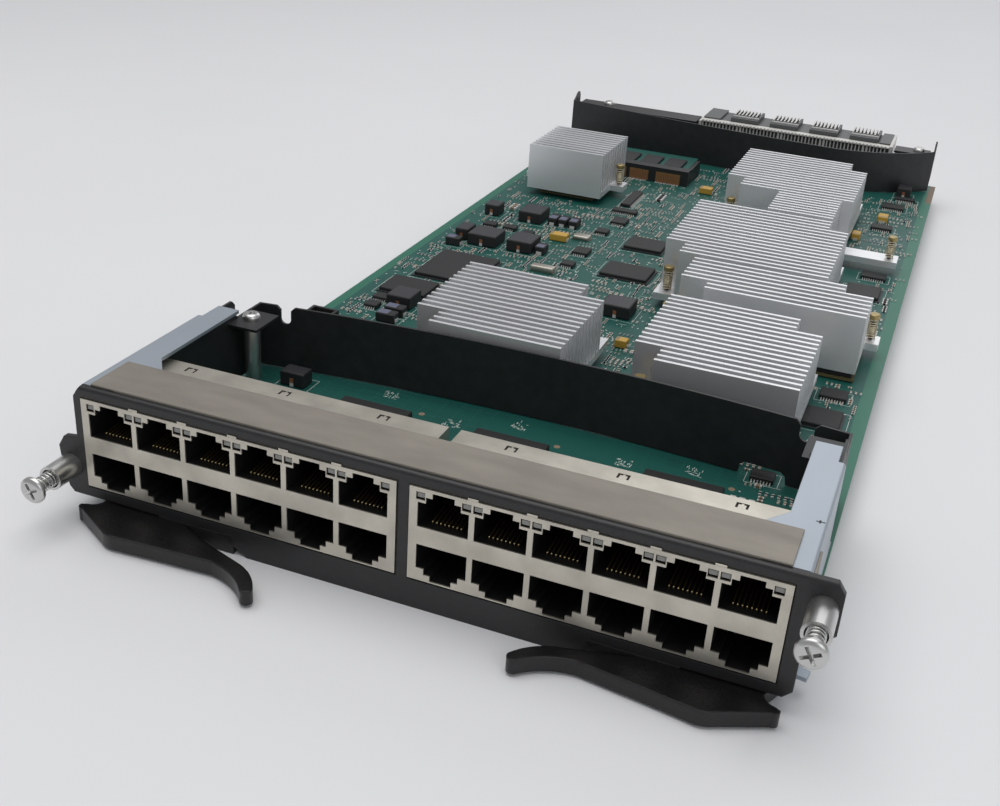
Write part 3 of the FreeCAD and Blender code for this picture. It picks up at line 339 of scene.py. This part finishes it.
# a closed turned solid from (radius, height) points up its axis, with a cross recess if asked
def addTurned(mesh, centre, profile, turn=None, sides=28, recess=None, material=0):
    def place(x, y, z):
        spot = Vector((x, y, z))
        return mesh.verts.new(((turn @ spot if turn else spot) + Vector(centre)) * mm)

    def join(lower, upper):
        for here in range(len(lower)):
            after = (here + 1) % len(lower)
            faces.append(mesh.faces.new((lower[here], lower[after], upper[after], upper[here])))

    faces = []
    angles = [2 * math.pi * side / sides for side in range(sides)]
    rings = [[place(radius * math.cos(angle), radius * math.sin(angle), high) for angle in angles]
             for radius, high in profile]
    for lower, upper in zip(rings, rings[1:]):
        join(lower, upper)
    faces.append(mesh.faces.new(list(reversed(rings[0]))))
    if recess:
        long, wide, deep = recess
        top = profile[-1][1]
        outline = [(wide, wide), (wide, long), (-wide, long), (-wide, wide), (-long, wide), (-long, -wide),
                   (-wide, -wide), (-wide, -long), (wide, -long), (wide, -wide), (long, -wide), (long, wide)]
        mouth = [place(x, y, top) for x, y in outline]
        floor = [place(x * 0.6, y * 0.6, top - deep) for x, y in outline]
        join(mouth, floor)
        faces.append(mesh.faces.new(floor))
        edges = [mesh.edges.get((a, b)) or mesh.edges.new((a, b))
                 for ring in (mouth, rings[-1]) for a, b in zip(ring, ring[1:] + ring[:1])]
        filled = bmesh.ops.triangle_fill(mesh, use_beauty=True, edges=edges)
        faces += [item for item in filled["geom"] if isinstance(item, bmesh.types.BMFace)]
    else:
        faces.append(mesh.faces.new(rings[-1]))
    for face in faces:
        face.material_index = material


# the box (in millimetres) of each loose solid of a CAD node, so that dressed parts sit where it has them
def solidBoxes(name):
    data = nodes[name].data
    mesh = bmesh.new()
    mesh.from_mesh(data)
    bmesh.ops.remove_doubles(mesh, verts=mesh.verts, dist=1e-6)
    left = set(mesh.verts)
    boxes = []
    while left:
        stack = [left.pop()]
        lows, highs = stack[0].co.copy(), stack[0].co.copy()
        while stack:
            vert = stack.pop()
            for axis in range(3):
                lows[axis] = min(lows[axis], vert.co[axis])
                highs[axis] = max(highs[axis], vert.co[axis])
            for edge in vert.link_edges:
                other = edge.other_vert(vert)
                if other in left:
                    left.remove(other)
                    stack.append(other)
        boxes.append((lows / mm, highs / mm))
    mesh.free()
    return sorted(boxes, key=lambda box: (round(box[0].y, 2), round(box[0].x, 2)))


def boxCentre(low, high):
    return (low.x + high.x) / 2, (low.y + high.y) / 2


lieAlongY = Matrix.Rotation(-math.pi / 2, 3, "X")
faceFront = Matrix.Rotation(math.pi / 2, 3, "X")
faceDown = Matrix.Rotation(math.pi, 3, "X")

# springs
captive = {"left": (-93.4, 4.7, -9.9), "right": (94.7, 21.2, -11.3)}  # x, z and the sleeve's mouth in y
spring = {"radius": 1.95, "wire": 0.2, "turns": 11, "ahead": 5.6, "seat": -2.9, "play": 0.06, "keep": 0.57}
for side, (x, z, mouth) in captive.items():
    mesh = bmesh.new()
    start = mouth - spring["ahead"]
    addCoil(mesh, (x, start + spring["play"], z), spring["radius"], spring["wire"],
            spring["seat"] - start - 2 * spring["play"], spring["turns"], lieAlongY, steps=20, sides=8)
    coil = newPiece(f"captiveCoil{side.title()}", mesh, "steel", smooth=True,
                    stands=[f"captive_spring_{side}"])
    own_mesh(coil)

pinSpring = {"radius": 1.45, "wire": 0.24, "turns": 10}
mesh = bmesh.new()
for low, high in solidBoxes("push_pin_springs"):
    addCoil(mesh, (*boxCentre(low, high), low.z), pinSpring["radius"], pinSpring["wire"], high.z - low.z,
            pinSpring["turns"], steps=14)
newPiece("pushPinCoils", mesh, "pinWire", smooth=True, stands=["push_pin_springs"])
print("springs done")

# turned fasteners
head = {
    "profile": [(3.2, 0), (3.5, 0.2), (3.5, 0.85), (3.36, 1.15), (3.0, 1.42), (2.5, 1.7)],
    "recess": (2.25, 0.45, 1.2), "turn": 28, "seat": 5.6,
    "shank": 1.42, "neck": 1.1, "groove": 0.24, "pitch": 0.5, "tip": 5.2, "tipRadius": 0.9,
}
for side, (x, z, mouth) in captive.items():
    mesh = bmesh.new()
    seat = mouth - head["seat"]
    addTurned(mesh, (x, seat, z), head["profile"],
              faceFront @ Matrix.Rotation(math.radians(head["turn"]), 3, "Z"), 36, recess=head["recess"])
    reach = [(head["shank"], 0), (head["shank"], 0.1 - seat),
             (head["neck"], 0.1 - seat), (head["neck"], 0.8 - seat)]
    ridges = int((head["tip"] - 1.0) / head["pitch"])
    for ridge in range(ridges):
        reach.append((head["shank"], 1.05 - seat + ridge * head["pitch"]))
        reach.append((head["shank"] - head["groove"], 1.3 - seat + ridge * head["pitch"]))
    reach.append((head["tipRadius"], head["tip"] - seat))
    addTurned(mesh, (x, seat, z), reach, lieAlongY, 20)
    newPiece(f"captiveScrew{side.title()}", mesh, "steel", f"captive_turn_{side}", smooth=True,
             stands=[f"captive_screw_{side}"])

dome = [(1.0, 0), (1.0, 0.3), (0.93, 0.62), (0.78, 0.88), (0.62, 1.0)]
standoff = {"headRadius": 2.7, "headHigh": 1.7, "recess": (1.3, 0.3, 0.8), "shank": 1.2,
            "radius": 2.4, "rim": 2.2, "chamfer": 0.3}
mesh = bmesh.new()
for low, high in solidBoxes("standoff_screws"):
    seat = high.z - standoff["headHigh"]
    addTurned(mesh, (*boxCentre(low, high), seat),
              [(standoff["headRadius"] * r, standoff["headHigh"] * h) for r, h in dome],
              recess=standoff["recess"])
    addTurned(mesh, (*boxCentre(low, high), low.z),
              [(standoff["shank"], 0), (standoff["shank"], seat - low.z + 0.1)], sides=16)
for low, high in solidBoxes("standoffs"):
    tall = high.z - low.z
    radius, rim, chamfer = standoff["radius"], standoff["rim"], standoff["chamfer"]
    addTurned(mesh, (*boxCentre(low, high), low.z),
              [(rim, 0), (radius, chamfer), (radius, tall - chamfer), (rim, tall)], sides=32)
newPiece("standoffSet", mesh, "steel", smooth=True, stands=["standoff_screws", "standoffs"])

underScrew = {"radius": 3.1, "high": 1.8, "recess": (1.4, 0.32, 0.8)}
mesh = bmesh.new()
for low, high in solidBoxes("underside_screws"):
    addTurned(mesh, (*boxCentre(low, high), high.z),
              [(underScrew["radius"] * r, underScrew["high"] * h) for r, h in dome], faceDown,
              recess=underScrew["recess"])
newPiece("undersideScrews", mesh, "steel", smooth=True, stands=["underside_screws"])

pushPin = {"shaft": 0.75, "cap": [(1.85, 0), (1.85, 1.35), (1.6, 1.6)]}
mesh = bmesh.new()
for low, high in solidBoxes("push_pins"):
    tall = high.z - low.z
    addTurned(mesh, (*boxCentre(low, high), low.z),
              [(pushPin["shaft"], 0), (pushPin["shaft"], tall - 1.5)], sides=16, material=1)
    addTurned(mesh, (*boxCentre(low, high), high.z - pushPin["cap"][-1][1]), pushPin["cap"], sides=24)
newPiece("pushPinSet", mesh, ["brass", "package"], smooth=True, stands=["push_pins"])
print("fasteners done")

# jack fronts
wire = {"inset": 0.08, "tipInset": 0.06, "tipLow": 0.30, "tipHigh": 0.56}
mesh = bmesh.new()
for low, high in solidBoxes("jack_contacts"):
    # the wire hooks down at its front end and runs back towards the middle of the jack
    up = low.z > 12
    base, way = (low.z, 1) if up else (high.z, -1)
    rise = high.z - low.z
    path = [(low.y, 0.0), (low.y, 0.34), (low.y + 0.3, 0.52), (high.y, rise), (high.y, rise - 0.24),
            (low.y + 0.45, 0.26), (low.y + 0.25, 0.2), (low.y + 0.25, 0.0)]
    near = [mesh.verts.new(Vector((low.x + wire["inset"], y, base + way * z)) * mm) for y, z in path]
    far = [mesh.verts.new(Vector((high.x - wire["inset"], y, base + way * z)) * mm) for y, z in path]
    mesh.faces.new(near)
    mesh.faces.new(list(reversed(far)))
    for here in range(len(path)):
        after = (here + 1) % len(path)
        mesh.faces.new((near[after], near[here], far[here], far[after]))
    first, last = (wire["tipLow"], wire["tipHigh"]) if up else (wire["tipHigh"], wire["tipLow"])
    addBox(mesh, (low.x + wire["tipInset"], low.y - 0.06, base + way * first),
           (high.x - wire["tipInset"], low.y + 0.36, base + way * last), bevel=0.08, material=1)
# the wires take the darker gold as painted shade, the tips the plain gold
newPiece("contactWires", mesh, ["goldPaintedShade", "gold"], stands=["jack_contacts"])

window = {"back": 0.1, "trim": 0.28, "bevel": 0.1}
mesh = bmesh.new()
for low, high in solidBoxes("port_lights"):
    addBox(mesh, (low.x, low.y + window["back"], low.z + window["trim"]),
           (high.x, high.y, high.z - window["trim"]), bevel=window["bevel"])
newPiece("lightWindows", mesh, "light", stands=["port_lights"])

jacks = {"centre": 45.0, "pitch": 13.97, "face": -2.0, "top": 25.0, "tongues": (-29, -1, 27)}
mesh = bmesh.new()
for centre in (-jacks["centre"], jacks["centre"]):
    for gap in range(1, 6):
        x = centre + (gap - 3) * jacks["pitch"]
        addBox(mesh, (x - 1.3, jacks["face"] + 0.05, jacks["top"] - 0.25),
               (x + 1.3, jacks["face"] + 0.36, jacks["top"] + 0.55), bevel=0.12)
    # a spring tongue in each window of the shield's top
    for spot in jacks["tongues"]:
        x = centre + spot
        addBox(mesh, (x - 0.95, 23.25, 24.72), (x + 0.95, 24.9, 24.98), bevel=0.05)
        addBox(mesh, (x - 0.3, 24.8, 24.72), (x + 0.3, 25.55, 24.9))
newPiece("shieldTabs", mesh, "shield")

# the panel's lower lip, drawn further out on both sides than the plain plate has it: the outer part is a
# black sheet that stands in for painted shadow between each lever and the panel
lip = {"inner": 46.0, "outer": 68.0, "slope": 4.5, "low": -8.4, "high": -3.3, "front": -1.6}
mesh = bmesh.new()
for way in (-1, 1):
    outline = [(lip["inner"], lip["high"]), (lip["outer"], lip["high"]),
               (lip["outer"] - lip["slope"], lip["low"]), (lip["inner"], lip["low"])]
    rings = [[mesh.verts.new(Vector((way * x, y, z)) * mm) for x, z in outline] for y in (lip["front"], 0)]
    mesh.faces.new(rings[0])
    mesh.faces.new(list(reversed(rings[1])))
    for here in range(4):
        after = (here + 1) % 4
        mesh.faces.new((rings[0][after], rings[0][here], rings[1][here], rings[1][after]))
newPiece("panelLipAndShadow", mesh, "panel")

# a small cross marked on the right bracket
mesh = bmesh.new()
addBox(mesh, (88.6, 20.4, 27.9), (90.6, 20.8, 28.02))
addBox(mesh, (89.3, 19.9, 27.9), (89.7, 21.3, 28.02))
newPiece("bracketMark", mesh, "dark")
print("jacks done")


# chips
# gull-wing leads along both sides of a package that lie across the given axis
def addLeads(mesh, low, high, axis, pitch, width, reach, material=1):
    across = 1 - axis
    count = max(2, int((high[axis] - low[axis] - 0.6) / pitch))
    start = (low[axis] + high[axis]) / 2 - (count - 1) * pitch / 2
    for index in range(count):
        along = start + index * pitch
        for edge, way in ((low[across], -1), (high[across], 1)):
            for inner, outer, bottom, top in ((-0.25, reach * 0.45, 0.45, 0.65),
                                              (reach * 0.3, reach * 0.5, 0.05, 0.65),
                                              (reach * 0.45, reach, 0.03, 0.2)):
                corner1, corner2 = [0, 0, bottom], [0, 0, top]
                corner1[axis], corner2[axis] = along - width / 2, along + width / 2
                ends = sorted((edge + way * inner, edge + way * outer))
                corner1[across], corner2[across] = ends
                addBox(mesh, corner1, corner2, material=material)


def shrink(low, high, inset):
    return Vector((low.x + inset, low.y + inset, low.z)), Vector((high.x - inset, high.y - inset, high.z))


leads = {"pitch": 0.85, "width": 0.36, "reach": 1.0, "narrowest": 2.9, "dimple": 0.28}
mesh = bmesh.new()
for low, high in solidBoxes("leaded_chips"):
    size = high - low
    axis = 1 if size.y > 1.6 * size.x else 0
    addBox(mesh, low, high, bevel=0.22)
    if min(size.x, size.y) > leads["narrowest"]:
        addLeads(mesh, low, high, axis, leads["pitch"], leads["width"], leads["reach"])
    # pin-one dimple
    addRod(mesh, (low.x + 0.9, low.y + 0.9, high.z - 0.01), leads["dimple"], 0.02, sides=10, material=2)
newPiece("leadedChips", mesh, ["package", "tin", "slate"], stands=["leaded_chips"])

mesh = bmesh.new()
for low, high in solidBoxes("flat_packages"):
    addBox(mesh, (low.x, low.y, 0.12), (high.x, high.y, 0.45), material=1)
    inLow, inHigh = shrink(low, high, 0.7)
    addBox(mesh, (inLow.x, inLow.y, 0.4), inHigh, bevel=0.25)
newPiece("flatPackages", mesh, ["package", "ferrite"], stands=["flat_packages"])

coilCase = {"inset": 0.15, "bevel": 0.45, "topInset": 0.7, "clip": 0.6, "thick": 0.3}
mesh = bmesh.new()
for low, high in solidBoxes("power_inductors"):
    middle = (low + high) / 2
    inLow, inHigh = shrink(low, high, coilCase["inset"])
    addBox(mesh, (inLow.x, inLow.y, 0.1), inHigh, bevel=coilCase["bevel"], segments=2)
    inLow, inHigh = shrink(low, high, coilCase["topInset"])
    addBox(mesh, (inLow.x, inLow.y, high.z - 0.05), (inHigh.x, inHigh.y, high.z + 0.03),
           bevel=0.02, material=1)
    for y in (low.y, high.y - coilCase["thick"]):
        for bottom, top, kind in ((0.05, 0.3, 3), (0.3, 0.62, 2)):  # tin below, copper above
            addBox(mesh, (middle.x - coilCase["clip"], y, high.z * bottom),
                   (middle.x + coilCase["clip"], y + coilCase["thick"], high.z * top), material=kind)
newPiece("powerInductors", mesh, ["package", "slate", "copper", "tin"],
         stands=["power_inductors"])

mesh = bmesh.new()
for low, high in solidBoxes("tantalum_capacitors"):
    axis = 0 if (high - low).x > (high - low).y else 1
    addBox(mesh, low, high, bevel=0.25, segments=1)
    for end in (0, 1):
        a, b = [low.x + 0.8, low.y + 0.8, 0.05], [high.x - 0.8, high.y - 0.8, 1.1]
        a[axis] = low[axis] - 0.25 if end == 0 else high[axis] - 0.05
        b[axis] = low[axis] + 0.05 if end == 0 else high[axis] + 0.25
        addBox(mesh, a, b, material=1)
    bar1 = Vector((low.x + 0.3, low.y + 0.3, high.z - 0.01))
    bar2 = Vector((high.x - 0.3, high.y - 0.3, high.z + 0.01))
    bar2[axis] = low[axis] + 1.3
    addBox(mesh, bar1, bar2, material=2)
newPiece("tantalums", mesh, ["tantalum", "tin", "cream"], stands=["tantalum_capacitors"])

mesh = bmesh.new()
for low, high in solidBoxes("polymer_capacitors"):
    axis = 0 if (high - low).x > (high - low).y else 1
    addBox(mesh, low, high, bevel=0.3)
    strip1 = Vector((low.x + 0.35, low.y + 0.35, high.z - 0.02))
    strip2 = Vector((high.x - 0.35, high.y - 0.35, high.z + 0.02))
    strip2[axis] = low[axis] + (high[axis] - low[axis]) * 0.62
    addBox(mesh, strip1, strip2, material=2)
    for end in (low[axis] - 0.2, high[axis]):
        tab1, tab2 = [low.x + 0.9, low.y + 0.9, 0.05], [high.x - 0.9, high.y - 0.9, 1.4]
        tab1[axis], tab2[axis] = end, end + 0.2
        addBox(mesh, tab1, tab2, material=1)
newPiece("polymers", mesh, ["package", "tin", "blue"], stands=["polymer_capacitors"])

mesh = bmesh.new()
for low, high in solidBoxes("crystal_and_oscillator"):
    addBox(mesh, low, high, bevel=0.8, segments=3)
    addBox(mesh, (low.x - 0.2, low.y + 0.4, 0.05), (high.x + 0.2, high.y - 0.4, 0.5), material=0)
newPiece("crystals", mesh, "can", smooth=True, stands=["crystal_and_oscillator"])

# memory socket: its two contact fields, and the leads in front of it
module = {"front": 345.0, "pitch": 0.8,
          "fields": ((-82.6, -64.5), (-61.8, -47.6), (-45.9, -36.6), (-32.9, -21.1))}
mesh = bmesh.new()
for west, east in module["fields"]:
    count = int((east - west) / module["pitch"])
    addBox(mesh, (west, module["front"] - 0.12, 0.5), (east, module["front"] + 0.1, 5.2), material=1)
    for lead in range(count):
        x = west + (lead + 0.5) * module["pitch"]
        addBox(mesh, (x - 0.17, module["front"] - 1.6, 0.04), (x + 0.17, module["front"] + 0.3, 0.34))
        addBox(mesh, (x - 0.14, module["front"] - 0.3, 0.3), (x + 0.14, module["front"], 4.6), material=2)
newPiece("memoryContacts", mesh, ["tin", "contacts", "copper"])

# ball-grid boards under the sinks' packages
gridRim = 0.9
mesh = bmesh.new()
for low, high in solidBoxes("processors"):
    addBox(mesh, (low.x - gridRim, low.y - gridRim, 0.5), (high.x + gridRim, high.y + gridRim, 1.3))
    addBox(mesh, (low.x, low.y, 1.2), (high.x, high.y, high.z), bevel=0.2, material=1)
newPiece("processorSet", mesh, ["substrate", "package"], stands=["processors"])

# three low modules in view behind the jacks
mesh = bmesh.new()
lowModule = {"middles": (-42.3, 0.2, 50.2), "half": 11.0, "front": 66.4, "back": 70.8, "top": 2.2}
for x in lowModule["middles"]:
    addBox(mesh, (x - lowModule["half"], lowModule["front"], 0.05),
           (x + lowModule["half"], lowModule["back"], lowModule["top"]), bevel=0.2)
newPiece("lowModules", mesh, "package")
print("chips done")


# small parts scattered over the free board
spread = {
    "west": -90, "east": 87, "front": 29.5, "rear": 380, "bareTo": 88, "clusters": 1900, "gap": 0.9,
    "open": ("main_board", "front_panel", "shield_gasket", "front_baffle", "rear_baffle", "standoff_screws"),
}
taken = []
for name in nodes:
    if name in spread["open"]:
        continue
    for low, high in solidBoxes(name):
        if low.z < 9 and high.z > 0.02:
            taken.append((low.x, low.y, high.x, high.y))
taken += [(x - 11.5, 66, x + 11.5, 71.5) for x in lowModule["middles"]]


def isFree(x0, y0, x1, y1, gap=0.35):
    return all(x1 + gap < a or x0 - gap > c or y1 + gap < b or y0 - gap > d for a, b, c, d in taken)


# whether a spot lies under either bowed baffle
def nearBaffle(x, y):
    front = 87.4 - 6.4 * ((x - 2) / 88) ** 2
    rear = 383 if x > 30 else 389 + (abs(x - 30) / 123) ** 1.3 * 10
    return abs(y - front) < 2.5 or y > min(rear, 396) - 3


small = bmesh.new()
kinds = [(1.0, 0.5, 0.45), (1.3, 0.65, 0.5), (1.6, 0.8, 0.5), (2.0, 1.25, 0.9), (3.2, 1.6, 1.2)]
placed = 0
for cluster in range(spread["clusters"]):
    kind = rng.choices(kinds, (9, 7, 4, 0.8, 0.2))[0]
    cx, cy = rng.uniform(spread["west"], spread["east"]), rng.uniform(spread["front"], spread["rear"])
    # the board is almost bare between the jacks and the front baffle
    if cy < spread["bareTo"] and not (cx > 60 and rng.random() < 0.6):
        continue
    turned = rng.random() < 0.5
    wide, deep = (kind[1], kind[0]) if turned else (kind[0], kind[1])
    count = rng.randint(2, 6)
    stepX, stepY = (wide + spread["gap"], 0) if turned else (0, deep + spread["gap"])
    shade = rng.choices((1, 2), (3, 2))[0]
    for index in range(count):
        x, y = cx + index * stepX, cy + index * stepY
        x0, y0, x1, y1 = x - wide / 2, y - deep / 2, x + wide / 2, y + deep / 2
        if x1 > 90.5 or nearBaffle(x, y) or not isFree(x0, y0, x1, y1):
            continue
        end = 0.27 * kind[0]
        addBox(small, (x0, y0, 0.03), (x1, y1, kind[2] * 0.92), material=0)
        if turned:
            addBox(small, (x0 - 0.01, y0 + end, 0.05), (x1 + 0.01, y1 - end, kind[2]), material=shade)
        else:
            addBox(small, (x0 + end, y0 - 0.01, 0.05), (x1 - end, y1 + 0.01, kind[2]), material=shade)
        taken.append((x0, y0, x1, y1))
        placed += 1
newPiece("chipParts", small, ["tin", "cream", "package"])
print("small parts placed:", placed)

# silk-screen outlines: short white strokes beside the parts
inks = {"thin": 0.16, "strokes": 1900, "low": -0.01, "high": 0.03, "gap": 1.3, "line": 0.14,
        "beds": ((-43.3, 81), (-19.9, 73), (-1.4, 81), (32, 74.2), (51, 78.5)), "bedStrokes": 26}
framed = ("flat_packages", "leaded_chips", "power_inductors", "polymer_capacitors")
ink = bmesh.new()
for cx, cy in inks["beds"]:
    for stroke in range(inks["bedStrokes"]):
        x, y = cx + rng.uniform(-2.6, 2.2), cy + rng.uniform(-2.2, 2.2)
        long = rng.uniform(0.5, 1.3)
        wide, deep = (long, inks["thin"]) if stroke % 2 else (inks["thin"], long)
        addBox(ink, (x, y, inks["low"]), (x + wide, y + deep, inks["high"]))
for stroke in range(inks["strokes"]):
    x, y = rng.uniform(-89, 86), rng.uniform(29.5, 380)
    long = rng.uniform(0.8, 3.0)
    wide, deep = (long, inks["thin"]) if rng.random() < 0.5 else (inks["thin"], long)
    if (y < 88 and x < 62) or nearBaffle(x, y) or not isFree(x, y, x + wide, y + deep, 0.1):
        continue
    addBox(ink, (x, y, inks["low"]), (x + wide, y + deep, inks["high"]))
# thin frames round the larger packages
for name in framed:
    for low, high in solidBoxes(name):
        x0, y0, x1, y1 = low.x - inks["gap"], low.y - inks["gap"], high.x + inks["gap"], high.y + inks["gap"]
        for a, b, c, d in ((x0, y0, x1, y0), (x0, y1, x1, y1), (x0, y0, x0, y1), (x1, y0, x1, y1)):
            addBox(ink, (a, b, inks["low"]), (c + inks["line"], d + inks["line"], inks["high"]))
newPiece("boardInk", ink, "white")

# vias, and three wider pads behind the jacks
viaSizes = {"count": 2200, "radius": 0.32, "padRadius": 0.95, "pads": (-30, 12.2, 62.5), "padY": 74.4,
            "low": -0.02, "thick": 0.045}
vias = bmesh.new()
for x in viaSizes["pads"]:
    addRod(vias, (x, viaSizes["padY"], viaSizes["low"]), viaSizes["padRadius"], viaSizes["thick"], sides=16,
           material=1)
for via in range(viaSizes["count"]):
    x, y = rng.uniform(-90, 88), rng.uniform(29.5, 380)
    if (y < 88 and x < 62) or nearBaffle(x, y) or not isFree(x - 0.4, y - 0.4, x + 0.4, y + 0.4, 0.1):
        continue
    addRod(vias, (x, y, viaSizes["low"]), viaSizes["radius"], viaSizes["thick"], sides=8)
newPiece("boardVias", vias, ["tin", "cream"])
print("board dressed")

# plug: tall light comb teeth, a toothed strip, and rows of pins on the crowns
plug = {"west": -26.8, "front": 405.5, "pitch": 1.75, "count": 53, "high": 17.8, "combTop": 17.6}
mesh = bmesh.new()
for tooth in range(plug["count"]):
    x = plug["west"] + 0.4 + tooth * plug["pitch"]
    wide = 0.55 if tooth % 12 not in (10, 11) else 1.0
    addBox(mesh, (x, plug["front"] + 0.02, 0.1), (x + wide, plug["front"] + 1.3, plug["combTop"]))
    addBox(mesh, (x + 0.1, plug["front"] - 0.6, plug["high"] + 0.5),
           (x + 0.7, plug["front"] + 1.2, plug["high"] + 0.95))
newPiece("plugComb", mesh, "wafer", stands=["plug_wafers"])

crowns = {"west": -18.4, "pitch": 20, "count": 4, "inset": 5.2, "rows": (413.0, 416.2, 419.0)}
mesh = bmesh.new()
for crown in range(crowns["count"]):
    west = crowns["west"] + crown * crowns["pitch"] + crowns["inset"]
    for row, y in enumerate(crowns["rows"]):
        addBox(mesh, (west + 0.3, y, 20.15), (west + 13.5, y + 0.9, 20.32), material=row % 2)
    for pin in range(7):
        x = west + 0.95 + pin * 1.8 - 0.9
        addBox(mesh, (x, 419.6, 20.1), (x + 0.75, 431.2, 20.36), material=1)
newPiece("crownRows", mesh, ["dark", "wafer"])

# underside: the soldered ends of the jacks' and plug's pins, and a few parts
under = {"face": -1.6, "tip": -2.35, "radius": 0.42, "parts": 420}
mesh = bmesh.new()


def addJoint(x, y):
    addTurned(mesh, (x, y, under["face"] + 0.02),
              [(under["radius"], 0), (under["radius"] * 0.6, 0.35), (0.22, under["face"] - under["tip"])],
              faceDown, 8)


for centre in (-jacks["centre"], jacks["centre"]):
    for port in range(6):
        for pin in range(8):
            x = centre + (port - 2.5) * jacks["pitch"] + (pin - 3.5) * 1.27
            for y in (10.5 + 2.5 * (pin % 2), 17.5 + 2.5 * (pin % 2)):
                addJoint(x, y)
for column in range(50):
    for row in range(4):
        addJoint(-24.5 + column * 1.8, 406.6 + row * 2.2)
newPiece("solderJoints", mesh, "tin")

mesh = bmesh.new()
for part in range(under["parts"]):
    kind = rng.choice(kinds)
    x, y = rng.uniform(-86, 84), rng.uniform(30, 392)
    if abs(x) > 76 and y < 74:
        continue
    wide, deep = (kind[0], kind[1]) if rng.random() < 0.5 else (kind[1], kind[0])
    addBox(mesh, (x - wide / 2, y - deep / 2, under["face"] - kind[2]),
           (x + wide / 2, y + deep / 2, under["face"]),
           material=rng.choice((0, 0, 1)))
newPiece("undersideParts", mesh, ["cream", "package"])
print("underside done")

# stage
stage = {"floor": -8.52, "half": 3.2, "ahead": 1.2, "sky": (0.80, 0.81, 0.84, 1), "strength": 0.42}
mesh = bmesh.new()
bmesh.ops.create_grid(mesh, x_segments=1, y_segments=1, size=stage["half"])
bmesh.ops.translate(mesh, vec=(0, stage["ahead"], stage["floor"] * mm), verts=mesh.verts)
paint["floor"] = addNoise(makeMaterial("floorPaper", (0.78, 0.785, 0.80), 0.7), 6, dark=0.985, light=1.01)
data = bpy.data.meshes.new("floor")
mesh.to_mesh(data)
mesh.free()
floor = bpy.data.objects.new("floor", data)
bpy.context.scene.collection.objects.link(floor)
data.materials.append(paint["floor"])

lights = {
    "overhead": {"place": (-0.15, 0.1, 1.25), "aim": (0.0, 0.05, 0), "size": 1.3, "watts": 10.5,
                 "tint": (1, 0.99, 0.97)},
    "window": {"place": (0.95, -0.75, 0.8), "aim": (0.0, 0.1, 0), "size": 0.9, "watts": 3,
               "tint": (0.96, 0.98, 1)},
    "back": {"place": (0.2, 1.7, 0.9), "aim": (0, 0.2, 0), "size": 1.2, "watts": 4.5,
             "tint": (0.98, 0.99, 1)},
}
for name, spec in lights.items():
    lamp = bpy.data.lights.new(name, "AREA")
    lamp.shape = "SQUARE"
    lamp.size = spec["size"]
    lamp.energy = spec["watts"]
    lamp.color = spec["tint"]
    holder = bpy.data.objects.new(name, lamp)
    holder.location = spec["place"]
    holder.rotation_euler = (Vector(spec["aim"]) - Vector(spec["place"])).to_track_quat("-Z", "Y").to_euler()
    bpy.context.scene.collection.objects.link(holder)

world = bpy.data.worlds.new("studio")
world.use_nodes = True
world.node_tree.nodes["Background"].inputs["Color"].default_value = stage["sky"]
world.node_tree.nodes["Background"].inputs["Strength"].default_value = stage["strength"]
bpy.context.scene.world = world

# camera
view = {"place": (0.10082, -0.22003, 0.16805), "turn": (63.0974, -3.5047, 21.6845), "lens": 44.44}
lens = bpy.data.cameras.new("camera")
lens.lens = view["lens"]
lens.sensor_width = 36
lens.clip_start = 0.01
lens.clip_end = 20
camera = bpy.data.objects.new("camera", lens)
camera.location = view["place"]
camera.rotation_euler = [math.radians(angle) for angle in view["turn"]]
bpy.context.scene.collection.objects.link(camera)
bpy.context.scene.camera = camera
bpy.context.scene.view_settings.view_transform = "Standard"
print("stage done")
